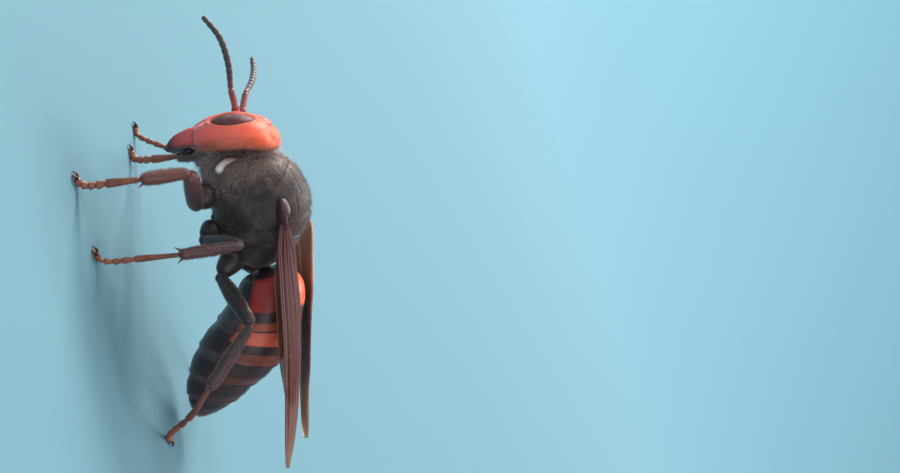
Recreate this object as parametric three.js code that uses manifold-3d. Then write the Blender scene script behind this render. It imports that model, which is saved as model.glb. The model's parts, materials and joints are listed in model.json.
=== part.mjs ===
// An Asian giant hornet worker at life size, in millimetres. +X is forward, +Y its left side, +Z up.
// It stands on six feet on the plane z = 0, the gaster curled down behind and the wings folded back.
import * as THREE from "three";
import { mergeVertices } from "three/addons/utils/BufferGeometryUtils.js";
import Module from "manifold-3d";

const wasm = await Module();
wasm.setup();

// Clearance between touching pieces, and the middle of the whole length and span in the layout below.
const GAP = 0.3;
const MIDDLE = { x: -3.58, y: -3.0 };

// Sides of a section and steps along a piece.
const BODY_SIDES = 26;
const LEG_SIDES = 9;
const FOOT_SIDES = 7;
const ANTENNA_SIDES = 8;
const WING_STEPS = 24;
// Small facets flatter than this are merged after the joins and cuts.
const SMOOTHING = 0.015;

// Body sections from front to back: top [x, z], bottom [x, z] and half of the width.
const THORAX = [
  { top: [6.2, 19.6], bottom: [7.0, 15.8], half: 1.6 },
  { top: [5.9, 21.2], bottom: [6.9, 14.1], half: 3.0 },
  { top: [5.0, 22.6], bottom: [6.1, 12.9], half: 4.2 },
  { top: [3.2, 23.8], bottom: [4.1, 12.4], half: 5.0 },
  { top: [1.0, 24.3], bottom: [1.2, 12.3], half: 5.4 },
  { top: [-1.0, 24.3], bottom: [-1.2, 12.3], half: 5.4 },
  { top: [-2.8, 23.5], bottom: [-3.2, 12.7], half: 5.0 },
  { top: [-4.4, 22.3], bottom: [-4.8, 13.3], half: 4.4 },
  { top: [-6.0, 21.0], bottom: [-6.2, 14.0], half: 3.5 },
  { top: [-7.1, 19.0], bottom: [-7.1, 14.8], half: 2.2 },
  { top: [-7.5, 17.5], bottom: [-7.5, 15.6], half: 1.0 },
];
const THORAX_POWER = 2.3;
// Where the flank meets the propodeum, and the front lower corner of the scutellum, as [x, z].
const PROPODEUM_EDGE = [-4.3, 18];
const PROPODEUM_LEAN = 0.1;
const SCUTELLUM_CORNER = [-2.3, 21.2];
// The U-shaped front of the scutum seen from above: how far its bend reaches forward of the shoulders.
const SCUTUM = { shoulder: -1.4, reach: 6.0, half: 6.0, lean: 0.18, level: 22 };
const THORAX_STEPS = 22;

// Head sections from the crown down to the mouth: face [x, z], nape [x, z] and half of the width.
const HEAD = [
  { top: [9.2, 22.5], bottom: [7.8, 22.5], half: 2.4 },
  { top: [10.4, 21.7], bottom: [6.9, 22.0], half: 4.4 },
  { top: [11.4, 20.6], bottom: [6.8, 20.9], half: 5.5 },
  { top: [12.2, 18.9], bottom: [7.2, 19.2], half: 6.0 },
  { top: [12.5, 17.1], bottom: [7.6, 17.5], half: 5.9 },
  { top: [12.4, 15.3], bottom: [8.0, 15.8], half: 5.5 },
  { top: [12.0, 13.7], bottom: [8.4, 14.3], half: 4.9 },
  { top: [11.5, 12.6], bottom: [8.9, 13.2], half: 4.1 },
  { top: [11.1, 12.0], bottom: [9.3, 12.5], half: 3.0 },
];
const HEAD_POWER = 2.4;
const HEAD_STEPS = 16;
// The head is turned to its right on the neck by an angle, about a point of the neck, and set back.
const HEAD_TURN = { angle: -0.2, pivot: 7.0, back: 0.5 };

// Gaster sections from the waist to the tip, on planes square to its curled middle line.
// The share is how far round the gaster the section lies: segment n runs from n - 1 to n.
const GASTER = [
  { top: [-7.9, 17.0], bottom: [-7.9, 15.2], half: 0.9, share: 0 },
  { top: [-8.3, 18.4], bottom: [-8.1, 13.9], half: 2.7, share: 0.12 },
  { top: [-9.3, 19.7], bottom: [-8.6, 12.8], half: 4.1, share: 0.28 },
  { top: [-11.0, 20.3], bottom: [-9.7, 11.8], half: 4.9, share: 0.48 },
  { top: [-13.2, 19.8], bottom: [-10.8, 10.4], half: 5.4, share: 0.74 },
  { top: [-15.9, 18.3], bottom: [-12.2, 8.6], half: 5.7, share: 1 },
  { top: [-18.2, 16.5], bottom: [-13.3, 7.0], half: 5.75, share: 1.5 },
  { top: [-20.1, 14.3], bottom: [-14.7, 5.4], half: 5.6, share: 2 },
  { top: [-21.0, 12.7], bottom: [-16.1, 4.1], half: 5.25, share: 2.5 },
  { top: [-21.7, 11.0], bottom: [-17.6, 3.1], half: 4.8, share: 3 },
  { top: [-22.5, 9.4], bottom: [-19.0, 2.3], half: 4.2, share: 3.5 },
  { top: [-23.2, 7.9], bottom: [-20.4, 1.8], half: 3.5, share: 4 },
  { top: [-23.7, 6.3], bottom: [-21.4, 1.7], half: 2.8, share: 4.5 },
  { top: [-24.0, 5.0], bottom: [-22.4, 1.7], half: 2.1, share: 5 },
  { top: [-24.2, 3.7], bottom: [-23.3, 1.8], half: 1.1, share: 5.6 },
  { top: [-24.2, 2.7], bottom: [-23.9, 2.1], half: 0.35, share: 6 },
];
const GASTER_POWER = 2.15;
const GASTER_STEPS = [9, 5, 4, 3, 3, 4];
// The hind rim of a segment stands proud of the next one's front by this much.
const RIM_STEP = 0.22;

// Legs of one side, hip to toe. The knee, ankle and toes differ left and right, as in a walking stance.
const FORE = { coxa: [1.7, 1.65, 1.0], femur: [0.95, 1.12, 0.78], tibia: [0.54, 0.85, 0.72], foot: 0.5 };
const MID = { coxa: [1.55, 1.4, 0.66], femur: [0.55, 0.92, 0.66], tibia: [0.46, 0.74, 0.62], foot: 0.38 };
const HIND = { coxa: [1.7, 1.5, 0.7], femur: [0.6, 1.05, 0.72], tibia: [0.5, 0.8, 0.68], foot: 0.4 };
const LEGS = {
  fore_left: {
    ...FORE,
    hip: [4.3, 2.6, 13.6],
    trochanter: [2.3, 4.1, 11.3],
    knee: [7.2, 8.6, 13.0],
    ankle: [8.3, 11.1, 7.5],
    sole: [[8.9, 11.3, 3.8], [9.3, 11.4, 1.3], [9.8, 11.5, 0.38], [10.6, 11.9, 0.36]],
  },
  fore_right: {
    ...FORE,
    hip: [4.3, -2.6, 13.6],
    trochanter: [2.6, -4.1, 11.3],
    knee: [6.8, -8.7, 12.3],
    ankle: [7.3, -12.2, 6.7],
    sole: [[7.6, -13.3, 3.6], [8.0, -13.9, 1.3], [8.5, -14.3, 0.36], [9.3, -14.9, 0.34]],
  },
  mid_left: {
    ...MID,
    hip: [-0.5, 2.6, 12.9],
    trochanter: [-1.7, 4.4, 10.9],
    knee: [-2.8, 9.6, 16.6],
    ankle: [-1.4, 13.1, 9.8],
    sole: [[-0.6, 13.1, 5.1], [0.0, 12.9, 1.4], [0.6, 13.1, 0.34], [1.5, 13.6, 0.31]],
  },
  mid_right: {
    ...MID,
    hip: [-0.5, -2.6, 12.9],
    trochanter: [-1.4, -4.5, 10.9],
    knee: [3.6, -10.3, 13.6],
    ankle: [5.7, -15.3, 8.2],
    sole: [[7.9, -17.6, 4.6], [9.9, -19.0, 1.4], [10.8, -19.7, 0.34], [11.6, -20.3, 0.31]],
  },
  hind_left: {
    ...HIND,
    hip: [-4.5, 2.6, 14.4],
    trochanter: [-6.5, 4.9, 11.7],
    knee: [-12.2, 11.0, 15.2],
    ankle: [-17.9, 14.2, 8.6],
    sole: [[-21.0, 12.0, 4.9], [-22.9, 9.9, 1.4], [-23.6, 9.0, 0.36], [-24.3, 8.2, 0.33]],
  },
  hind_right: {
    ...HIND,
    hip: [-4.5, -2.6, 14.4],
    trochanter: [-6.5, -4.9, 11.7],
    knee: [-11.8, -10.8, 15.6],
    ankle: [-17.4, -13.8, 8.6],
    sole: [[-19.2, -12.3, 4.6], [-20.3, -10.9, 1.4], [-20.8, -10.2, 0.36], [-21.4, -9.4, 0.33]],
  },
};
const CLAW_LENGTH = 1.0;
const SPUR_LENGTH = 1.1;
const SPIKE_SIDES = 5;

// Antennae, socket to tip.
const ANTENNAE = {
  left: [[11.5, 0.2, 18.6], [13.3, 0.95, 19.0], [15.0, 1.9, 19.3],
    [18.3, 3.5, 20.3], [21.6, 4.8, 20.5], [24.6, 5.8, 19.5]],
  right: [[11.1, -2.2, 18.6], [12.4, -3.0, 19.2], [13.6, -4.0, 19.7],
    [14.5, -7.0, 20.2], [15.6, -10.0, 20.2], [16.9, -12.3, 20.0]],
};
const SCAPE_RADII = [0.34, 0.42, 0.38];
const FLAGELLUM_RADII = [0.34, 0.42, 0.4, 0.3];
const FLAGELLOMERES = 10;

// Folded forewing edges on the left, root to tip. The right wing is the mirror of it, arched up behind its
// root with its leading edge drooping there, rolled down, and its tip lifted and swung inwards.
const WING_OUTER = [[-2.1, 6.3, 21.1], [-4.9, 7.1, 20.0], [-8.3, 8.0, 19.3], [-11.9, 8.6, 18.5],
  [-15.5, 8.9, 17.7], [-19.1, 8.8, 16.7], [-22.8, 8.4, 15.6], [-26.6, 7.95, 14.35], [-29.7, 7.45, 13.35],
  [-31.6, 7.15, 12.9]];
const WING_INNER = [[-2.3, 5.3, 21.8], [-4.7, 4.2, 21.7], [-8.5, 3.6, 20.8], [-12.3, 3.4, 20.0],
  [-15.9, 3.7, 19.0], [-19.4, 4.3, 18.0], [-23.0, 4.9, 16.8], [-26.4, 5.1, 15.5], [-29.8, 5.9, 14.05],
  [-31.7, 6.7, 13.1]];
const WING_ARCH = { left: 0, right: 1.1 };
const WING_DROOP = { left: 0, right: -2.2 };
const WING_LIFT = { left: 0, right: 0.7 };
const WING_ROLL = { left: 0, right: -0.5 };
const WING_SWING = { left: 0, right: 2.0 };
const WING_THICKNESS = 0.5;
const WING_BOW = 0.35;
const VEIN_HEIGHT = 0.16;
const VEIN_HALF = 0.03;
// Main veins across a forewing, as shares of its width from the fold to the leading edge.
const FOREWING_VEINS = [0.16, 0.4, 0.66, 0.92];
const HINDWING_VEINS = [0.3, 0.85];
const HINDWING = { from: 0.07, to: 0.66, inner: 0.3, outer: 0.88, drop: 0.98, steps: 14 };

// Head details.
const EYE = { centre: [10.85, 4.5, 18.7], half: [1.3, 1.12, 3.08], lean: 0.2, out: 0.12 };
const CLYPEUS = { centre: [11.75, 0, 14.6], half: [0.8, 2.7, 2.3] };
const OCELLI = [[10.35, 0, 21.55], [9.75, 0.75, 22.05], [9.75, -0.75, 22.05]];
const OCELLUS_RADIUS = 0.34;
const MANDIBLE = {
  path: [[10.6, 3.0, 12.9], [10.6, 2.3, 11.4], [10.4, 1.45, 10.2], [10.1, 0.64, 9.1]],
  across: [1.2, 1.45, 1.2, 0.42],
  deep: [1.2, 1.05, 0.8, 0.35],
  steps: 12,
};
const TEGULA = { centre: [-0.5, 4.9, 21.9], half: [1.3, 1.0, 0.75] };
const NECK = { from: [6.2, 0, 17.6], to: [8.4, 0, 17.8], radius: 1.1 };

const COLOURS = {
  orange: { color: 0xd9622b, roughness: 0.42, metalness: 0 },
  eye: { color: 0x3a1a14, roughness: 0.2, metalness: 0 },
  mandible: { color: 0x6a2a1c, roughness: 0.35, metalness: 0 },
  thorax: { color: 0x2a1e18, roughness: 0.5, metalness: 0 },
  gaster: { color: 0x2c1712, roughness: 0.3, metalness: 0 },
  leg: { color: 0x5a281a, roughness: 0.38, metalness: 0 },
  foot: { color: 0xa8552a, roughness: 0.45, metalness: 0 },
  antenna: { color: 0x3b2a26, roughness: 0.5, metalness: 0 },
  wing: { color: 0x7a3f24, roughness: 0.3, metalness: 0 },
};

const vector = (p) => new THREE.Vector3(p[0], p[1], p[2]);
const mirrored = (p) => [p[0], -p[1], p[2]];
const hornet = new THREE.Group();

// A closed solid from rings of equal length, with a fan at each end, its faces turned outwards.
function loft(rings) {
  const sides = rings[0].length;
  const points = rings.flat();
  const first = points.length;
  points.push(average(rings[0]), average(rings[rings.length - 1]));
  const faces = [];
  const end = (rings.length - 1) * sides;
  for (let i = 0; i < sides; i++) {
    const j = (i + 1) % sides;
    for (let r = 0; r < end; r += sides) {
      faces.push(r + i, r + j, r + sides + j, r + i, r + sides + j, r + sides + i);
    }
    faces.push(first, j, i);
    faces.push(first + 1, end + i, end + j);
  }
  return solidOf(points, faces);
}

function average(points) {
  const sum = new THREE.Vector3();
  points.forEach((p) => sum.add(p));
  return sum.divideScalar(points.length);
}

// A manifold from points and triangles, whichever way round the triangles were listed.
function solidOf(points, faces) {
  let volume = 0;
  for (let i = 0; i < faces.length; i += 3) {
    const [a, b, c] = [points[faces[i]], points[faces[i + 1]], points[faces[i + 2]]];
    volume += a.dot(new THREE.Vector3().crossVectors(b, c));
  }
  const turned = volume < 0 ? faces.slice().reverse() : faces;
  return new wasm.Manifold(new wasm.Mesh({
    numProp: 3,
    vertProperties: new Float32Array(points.flatMap((p) => p.toArray())),
    triVerts: new Uint32Array(turned),
  }));
}

// The largest closed surface of a solid.
function largest(solid) {
  const bodies = solid.decompose();
  return bodies.reduce((a, b) => (b.volume() > a.volume() ? b : a));
}

const cut = (solid, ...tools) => largest(tools.reduce((s, tool) => s.subtract(tool), solid));
const joined = (...solids) => largest(solids.reduce((a, b) => a.add(b)));

// A manifold of a closed three.js geometry, moved by a matrix.
function shaped(geometry, matrix = new THREE.Matrix4()) {
  const bare = new THREE.BufferGeometry();
  const source = geometry.index ? geometry.toNonIndexed() : geometry;
  bare.setAttribute("position", source.getAttribute("position"));
  bare.applyMatrix4(matrix);
  const merged = mergeVertices(bare, 1e-4);
  const at = merged.getAttribute("position");
  const points = [];
  for (let i = 0; i < at.count; i++) points.push(new THREE.Vector3().fromBufferAttribute(at, i));
  return solidOf(points, Array.from(merged.index.array));
}

function ellipsoid(centre, half, grow = 0, lean = 0, out = 0, detail = [16, 12]) {
  const matrix = new THREE.Matrix4().compose(
    vector(centre),
    new THREE.Quaternion().setFromEuler(new THREE.Euler(0, -lean, out)),
    new THREE.Vector3(half[0] + grow, half[1] + grow, half[2] + grow),
  );
  return shaped(new THREE.SphereGeometry(1, ...detail), matrix);
}

// A large block behind a plane through [x, z] that leans forward as it goes down, and above a level.
function rearOf([x, z], lean, floorLevel = -40) {
  const box = new THREE.BoxGeometry(40, 80, 40 - floorLevel);
  box.translate(-20, 0, (40 + floorLevel) / 2);
  return shaped(box, new THREE.Matrix4().makeRotationY(-lean).setPosition(x, 0, z));
}

function addNode(name, solid, look, smoothing = SMOOTHING) {
  const mesh = (smoothing > 0 ? solid.asOriginal().simplify(smoothing) : solid).getMesh();
  const stride = mesh.numProp;
  const position = new Float32Array(mesh.numVert * 3);
  for (let i = 0; i < mesh.numVert; i++) {
    position.set(mesh.vertProperties.subarray(i * stride, i * stride + 3), i * 3);
  }
  const geometry = new THREE.BufferGeometry();
  geometry.setAttribute("position", new THREE.BufferAttribute(position, 3));
  geometry.setIndex(new THREE.BufferAttribute(mesh.triVerts, 1));
  const node = new THREE.Mesh(geometry, new THREE.MeshStandardMaterial(look));
  node.name = name;
  hornet.add(node);
}

// One rounded section between a top and a bottom point of the profile, with squarish shoulders.
function section(row, sides, power, grow = 0) {
  const top = new THREE.Vector3(row.top[0], 0, row.top[1]);
  const bottom = new THREE.Vector3(row.bottom[0], 0, row.bottom[1]);
  const middle = top.clone().add(bottom).divideScalar(2);
  const rise = top.clone().sub(middle);
  rise.setLength(rise.length() + grow);
  const ring = [];
  for (let i = 0; i < sides; i++) {
    const turn = (2 * Math.PI * i) / sides;
    const up = Math.sign(Math.cos(turn)) * Math.abs(Math.cos(turn)) ** (2 / power);
    const side = Math.sign(Math.sin(turn)) * Math.abs(Math.sin(turn)) ** (2 / power);
    const p = middle.clone().addScaledVector(rise, up);
    p.y = side * (row.half + grow);
    ring.push(p);
  }
  return ring;
}

// A smooth curve through each column of the rows, read at a place counted in rows.
function profile(rows) {
  const curve = (key) => new THREE.CatmullRomCurve3(
    rows.map((r) => new THREE.Vector3(r[key][0], r.half, r[key][1])));
  const top = curve("top");
  const bottom = curve("bottom");
  return (place) => {
    const t = Math.min(1, Math.max(0, place / (rows.length - 1)));
    const a = top.getPoint(t);
    const b = bottom.getPoint(t);
    return { top: [a.x, a.z], bottom: [b.x, b.z], half: (a.y + b.y) / 2 };
  };
}

// A body shell from its profile rows. A grown one is larger all round, for cutting its neighbours.
function shell(rows, steps, power, grow = 0) {
  const at = profile(rows);
  const rings = [];
  for (let i = 0; i <= steps; i++) {
    rings.push(section(at(((rows.length - 1) * i) / steps), BODY_SIDES, power, grow));
  }
  if (grow > 0) {
    for (const [end, next] of [[0, 1], [rings.length - 1, rings.length - 2]]) {
      const back = average(rings[end]).sub(average(rings[next])).setLength(grow);
      rings[end] = rings[end].map((p) => p.clone().add(back));
    }
  }
  return loft(rings);
}

// A tapered round limb along a route, its ends rounded, drawn back at each end where a joint needs room.
function limb(route, radii, options = {}) {
  const { sides = LEG_SIDES, steps = 6, grow = 0, back = [0, 0], swell = () => 1 } = options;
  const curve = new THREE.CatmullRomCurve3(route.map(vector));
  const length = curve.getLength();
  const start = back[0] - grow;
  const stop = length - back[1] + grow;
  const radiusAt = (d) => {
    const place = (Math.min(1, Math.max(0, d / length))) * (radii.length - 1);
    const i = Math.min(radii.length - 2, Math.floor(place));
    return THREE.MathUtils.lerp(radii[i], radii[i + 1], place - i) * swell(d / length) + grow;
  };
  const first = radiusAt(start);
  const last = radiusAt(stop);
  const places = [0, 0.2 * first, 0.6 * first];
  const from = first;
  const to = stop - start - last;
  for (let i = 0; i <= steps; i++) places.push(from + ((to - from) * i) / steps);
  places.push(stop - start - 0.6 * last, stop - start - 0.2 * last, stop - start);
  const side = new THREE.Vector3().subVectors(vector(route[route.length - 1]), vector(route[0]))
    .cross(new THREE.Vector3(0.31, 0.11, 0.95)).normalize();
  const rings = places.map((d) => {
    const u = Math.min(1, Math.max(0, (start + d) / length));
    const beyond = start + d - u * length;
    const tangent = curve.getTangentAt(u);
    const centre = curve.getPointAt(u).addScaledVector(tangent, beyond);
    const across = new THREE.Vector3().crossVectors(tangent, side).normalize();
    const along = new THREE.Vector3().crossVectors(across, tangent).normalize();
    const near = Math.max(1 - d / first, 1 - (stop - start - d) / last, 0);
    const radius = radiusAt(start + d) * Math.max(0.25, Math.sqrt(1 - Math.min(1, near) ** 2));
    const ring = [];
    for (let i = 0; i < sides; i++) {
      const turn = (2 * Math.PI * i) / sides;
      ring.push(centre.clone()
        .addScaledVector(along, Math.cos(turn) * radius)
        .addScaledVector(across, Math.sin(turn) * radius));
    }
    return ring;
  });
  return loft(rings);
}

// A curved spike of few faces along a route, for a spur or a claw.
function spike(route, radii) {
  const rings = route.map((centre, n) => {
    const next = route[Math.min(n + 1, route.length - 1)];
    const tangent = next.clone().sub(route[Math.max(n - 1, 0)]).normalize();
    const side = new THREE.Vector3(0.3, 0.5, 0.8).cross(tangent).normalize();
    const across = new THREE.Vector3().crossVectors(tangent, side);
    return Array.from({ length: SPIKE_SIDES }, (_, i) => {
      const turn = (2 * Math.PI * i) / SPIKE_SIDES;
      return centre.clone()
        .addScaledVector(side, Math.cos(turn) * radii[n])
        .addScaledVector(across, Math.sin(turn) * radii[n]);
    });
  });
  return loft(rings);
}

const thorax = shell(THORAX, THORAX_STEPS, THORAX_POWER);
const thoraxGrown = shell(THORAX, THORAX_STEPS, THORAX_POWER, GAP);
const headPose = new THREE.Matrix4().makeTranslation(HEAD_TURN.pivot - HEAD_TURN.back, 0, 0)
  .multiply(new THREE.Matrix4().makeRotationZ(HEAD_TURN.angle))
  .multiply(new THREE.Matrix4().makeTranslation(-HEAD_TURN.pivot, 0, 0));
// A solid of the head, made facing straight ahead, put in its turned place.
const onNeck = (solid) => solid.transform(headPose.toArray());
const headAhead = shell(HEAD, HEAD_STEPS, HEAD_POWER, GAP);
const headGrown = onNeck(headAhead);
const floor = shaped(new THREE.BoxGeometry(160, 160, 5).translate(0, 0, -2.5));

// The scutum's outline from above: a U open to the rear, leaning forward as it goes down the flank.
function scutumPrism(grow) {
  const sides = 20;
  const reach = SCUTUM.reach + grow;
  const half = SCUTUM.half + grow;
  const rings = [26, 8].map((z) => {
    const shift = SCUTUM.shoulder + SCUTUM.lean * (SCUTUM.level - z);
    const ring = [new THREE.Vector3(-14, -half, z), new THREE.Vector3(-14, half, z)];
    for (let i = 0; i <= sides; i++) {
      const turn = Math.PI / 2 - (Math.PI * i) / sides;
      ring.push(new THREE.Vector3(shift + reach * Math.cos(turn), half * Math.sin(turn), z));
    }
    return ring;
  });
  return loft(rings);
}

function makeThorax() {
  const neck = cut(
    limb([NECK.from, NECK.to], [NECK.radius, NECK.radius], { steps: 1, sides: 14 }), headGrown);
  const collar = joined(cut(thorax, scutumPrism(GAP), headGrown), neck);
  addNode("pronotum", collar, COLOURS.thorax);

  const rest = largest(thorax.intersect(scutumPrism(0)));
  const [x, z] = PROPODEUM_EDGE;
  addNode("propodeum", largest(rest.intersect(rearOf([x, z], PROPODEUM_LEAN))), COLOURS.thorax);

  const middle = cut(rest, rearOf([x + GAP, z], PROPODEUM_LEAN));
  const [shieldX, shieldZ] = SCUTELLUM_CORNER;
  addNode("scutellum", largest(middle.intersect(rearOf([shieldX, shieldZ], 0, 0))), COLOURS.thorax);
  addNode("mesothorax", cut(middle, rearOf([shieldX + GAP, shieldZ - GAP], 0, 0)), COLOURS.thorax);
}

function makeTegulae() {
  for (const [side, place] of [["left", TEGULA.centre], ["right", mirrored(TEGULA.centre)]]) {
    const dome = ellipsoid(place, TEGULA.half);
    addNode("tegula_" + side, cut(dome, thoraxGrown), COLOURS.mandible);
  }
}

function eyeSolid(side, grow) {
  const centre = side === "left" ? EYE.centre : mirrored(EYE.centre);
  return ellipsoid(centre, EYE.half, grow, EYE.lean, side === "left" ? EYE.out : -EYE.out, [12, 12]);
}

function mandibleSolid(side) {
  const sign = side === "left" ? 1 : -1;
  const at = (values, t) => {
    const place = t * (values.length - 1);
    const i = Math.min(values.length - 2, Math.floor(place));
    return THREE.MathUtils.lerp(values[i], values[i + 1], place - i);
  };
  const curve = new THREE.CatmullRomCurve3(MANDIBLE.path.map(vector));
  const rings = [];
  for (let i = 0; i <= MANDIBLE.steps; i++) {
    const t = i / MANDIBLE.steps;
    const centre = curve.getPoint(t);
    const tangent = curve.getTangent(t);
    const deep = new THREE.Vector3(1, 0, 0).addScaledVector(tangent, -tangent.x).normalize();
    const across = new THREE.Vector3().crossVectors(tangent, deep);
    const ring = [];
    for (let k = 0; k < 12; k++) {
      const turn = (2 * Math.PI * k) / 12;
      const p = centre.clone()
        .addScaledVector(deep, Math.cos(turn) * at(MANDIBLE.deep, t))
        .addScaledVector(across, Math.sin(turn) * at(MANDIBLE.across, t));
      p.y = Math.max(p.y, GAP / 2 + 0.02);
      ring.push(new THREE.Vector3(p.x, p.y * sign, p.z));
    }
    rings.push(ring);
  }
  return loft(rings);
}

function makeHead() {
  let skull = shell(HEAD, HEAD_STEPS, HEAD_POWER);
  skull = skull.add(ellipsoid(CLYPEUS.centre, CLYPEUS.half, 0, 0.1));
  for (const place of OCELLI) {
    skull = skull.add(ellipsoid(place, [OCELLUS_RADIUS, OCELLUS_RADIUS, OCELLUS_RADIUS], 0, 0, 0, [8, 6]));
  }
  addNode("head", onNeck(cut(skull, eyeSolid("left", GAP), eyeSolid("right", GAP))), COLOURS.orange);
  for (const side of ["left", "right"]) {
    addNode("eye_" + side, onNeck(eyeSolid(side, 0)), COLOURS.eye);
    const brow = ellipsoid(CLYPEUS.centre, CLYPEUS.half, 1.5 * GAP, 0.1);
    const jaw = cut(mandibleSolid(side), headAhead, headAhead.translate(0, 0, -GAP / 2), brow);
    addNode("mandible_" + side, onNeck(jaw), COLOURS.mandible);
  }
}

// Scape and flagellum of both antennae. The flagellum is ringed by its many short members.
function makeAntennae() {
  for (const side of ["left", "right"]) {
    const route = ANTENNAE[side];
    const scape = limb(route.slice(0, 3), SCAPE_RADII, { sides: ANTENNA_SIDES, back: [0, GAP / 2], steps: 5 });
    addNode("scape_" + side, cut(scape, headGrown), COLOURS.leg);
    const flagellum = limb(route.slice(2), FLAGELLUM_RADII, {
      sides: ANTENNA_SIDES,
      steps: 2 * FLAGELLOMERES,
      back: [GAP / 2, 0],
      swell: (t) => 1 + 0.06 * Math.cos(2 * Math.PI * FLAGELLOMERES * t),
    });
    addNode("flagellum_" + side, flagellum, COLOURS.antenna);
  }
}

// A wing blade between its two edges, its veins raised as ridges from the upper face of the membrane.
function blade(spot, steps, veins) {
  const columns = [0, 1];
  for (const v of veins) columns.push(v - VEIN_HALF, v, v + VEIN_HALF);
  columns.sort((a, b) => a - b);
  const upper = [];
  const lower = [];
  for (let i = 0; i <= steps; i++) {
    const t = i / steps;
    for (const s of columns) {
      const { at, normal } = spot(t, s);
      const thick = WING_THICKNESS * (1 - 0.35 * THREE.MathUtils.smoothstep(t, 0.9, 1));
      const ridge = veins.includes(s) ? VEIN_HEIGHT * (1 - THREE.MathUtils.smoothstep(t, 0.8, 1)) : 0;
      upper.push(at.clone().addScaledVector(normal, thick / 2 + ridge));
      lower.push(at.clone().addScaledVector(normal, -thick / 2));
    }
  }
  const width = columns.length;
  const below = upper.length;
  const faces = [];
  for (let i = 0; i < steps; i++) {
    for (let k = 0; k < width - 1; k++) {
      const a = i * width + k;
      faces.push(a, a + 1, a + width, a + 1, a + width + 1, a + width);
      faces.push(below + a, below + a + width, below + a + 1);
      faces.push(below + a + 1, below + a + width, below + a + width + 1);
    }
    for (const [a, b] of [[i * width, (i + 1) * width], [(i + 2) * width - 1, (i + 1) * width - 1]]) {
      faces.push(a, b, below + b, a, below + b, below + a);
    }
  }
  for (let k = 0; k < width - 1; k++) {
    faces.push(k + 1, k, below + k, k + 1, below + k, below + k + 1);
    const a = steps * width + k;
    faces.push(a, a + 1, below + a + 1, a, below + a + 1, below + a);
  }
  return solidOf([...upper, ...lower], faces);
}

function makeWings() {
  const outer = new THREE.CatmullRomCurve3(WING_OUTER.map(vector));
  const inner = new THREE.CatmullRomCurve3(WING_INNER.map(vector));
  for (const side of ["left", "right"]) {
    const sign = side === "left" ? 1 : -1;
    // A place on the folded forewing: t from root to tip, s from the fold to the leading edge.
    const forewing = (t, s) => {
      const a = inner.getPoint(t);
      const b = outer.getPoint(t);
      const near = THREE.MathUtils.smoothstep(t, 0, 0.12) * (1 - THREE.MathUtils.smoothstep(t, 0.15, 0.6));
      const raise = WING_ARCH[side] * near + WING_LIFT[side] * THREE.MathUtils.smoothstep(t, 0.7, 1);
      a.z += raise;
      b.z += raise + WING_DROOP[side] * near + WING_ROLL[side] * THREE.MathUtils.smoothstep(t, 0, 0.3);
      const swing = WING_SWING[side] * THREE.MathUtils.smoothstep(t, 0.1, 1);
      a.y -= swing;
      b.y -= swing;
      const across = b.clone().sub(a);
      const along = inner.getTangent(t).add(outer.getTangent(t));
      const normal = new THREE.Vector3().crossVectors(across, along).normalize();
      if (normal.z < 0) normal.negate();
      const at = a.addScaledVector(across, s).addScaledVector(normal, 4 * WING_BOW * s * (1 - s));
      at.y *= sign;
      normal.y *= sign;
      return { at, normal };
    };
    const hindwing = (t, s) => {
      const round = Math.sqrt(Math.max(0.02, 1 - THREE.MathUtils.smoothstep(t, 0.7, 1.02)));
      const root = 0.3 + 0.7 * THREE.MathUtils.smoothstep(t, 0, 0.3);
      const middle = (HINDWING.inner + HINDWING.outer) / 2;
      const half = ((HINDWING.outer - HINDWING.inner) / 2) * round * root;
      const spot = forewing(
        THREE.MathUtils.lerp(HINDWING.from, HINDWING.to, t), middle + half * (2 * s - 1));
      spot.at.addScaledVector(spot.normal, -HINDWING.drop);
      return spot;
    };
    addNode("forewing_" + side, blade(forewing, WING_STEPS, FOREWING_VEINS), COLOURS.wing, 0);
    addNode("hindwing_" + side, blade(hindwing, HINDWING.steps, HINDWING_VEINS), COLOURS.wing, 0);
  }
}

// Six segments in a row, each a little wider at its hind rim than the next one's front.
function makeGaster() {
  const at = profile(GASTER);
  const rowOf = (share) => {
    let i = 0;
    while (i < GASTER.length - 2 && GASTER[i + 1].share < share) i++;
    const span = GASTER[i + 1].share - GASTER[i].share;
    return i + (share - GASTER[i].share) / span;
  };
  GASTER_STEPS.forEach((steps, n) => {
    const rings = [];
    for (let i = 0; i <= steps; i++) {
      const share = n + i / steps;
      const row = at(rowOf(share));
      const shrink = n > 0 ? -RIM_STEP * (1 - THREE.MathUtils.smoothstep(i / steps, 0, 0.6)) : 0;
      rings.push(section(row, BODY_SIDES, GASTER_POWER, shrink));
    }
    if (n > 0) {
      const forward = average(rings[1]).sub(average(rings[0])).setLength(GAP);
      rings[0] = rings[0].map((p) => p.clone().add(forward));
    }
    addNode("gaster_" + (n + 1), loft(rings), COLOURS.gaster);
  });
}

// Two hooked claws at the end of a foot.
function claws(foot, radius) {
  const end = vector(foot[foot.length - 1]);
  const forward = end.clone().sub(vector(foot[foot.length - 2])).setZ(0).normalize();
  const across = new THREE.Vector3(-forward.y, forward.x, 0);
  return [-1, 1].map((sign) => {
    const route = [
      end.clone().addScaledVector(forward, -0.35).addScaledVector(across, sign * 0.08),
      end.clone().addScaledVector(forward, 0.3 * CLAW_LENGTH).addScaledVector(across, sign * 0.32),
      end.clone().addScaledVector(forward, 0.8 * CLAW_LENGTH).addScaledVector(across, sign * 0.5),
    ];
    route[1].z = 0.5;
    route[2].z = 0.14;
    return spike(route, [radius * 0.7, radius * 0.6, 0.12]);
  });
}

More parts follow.
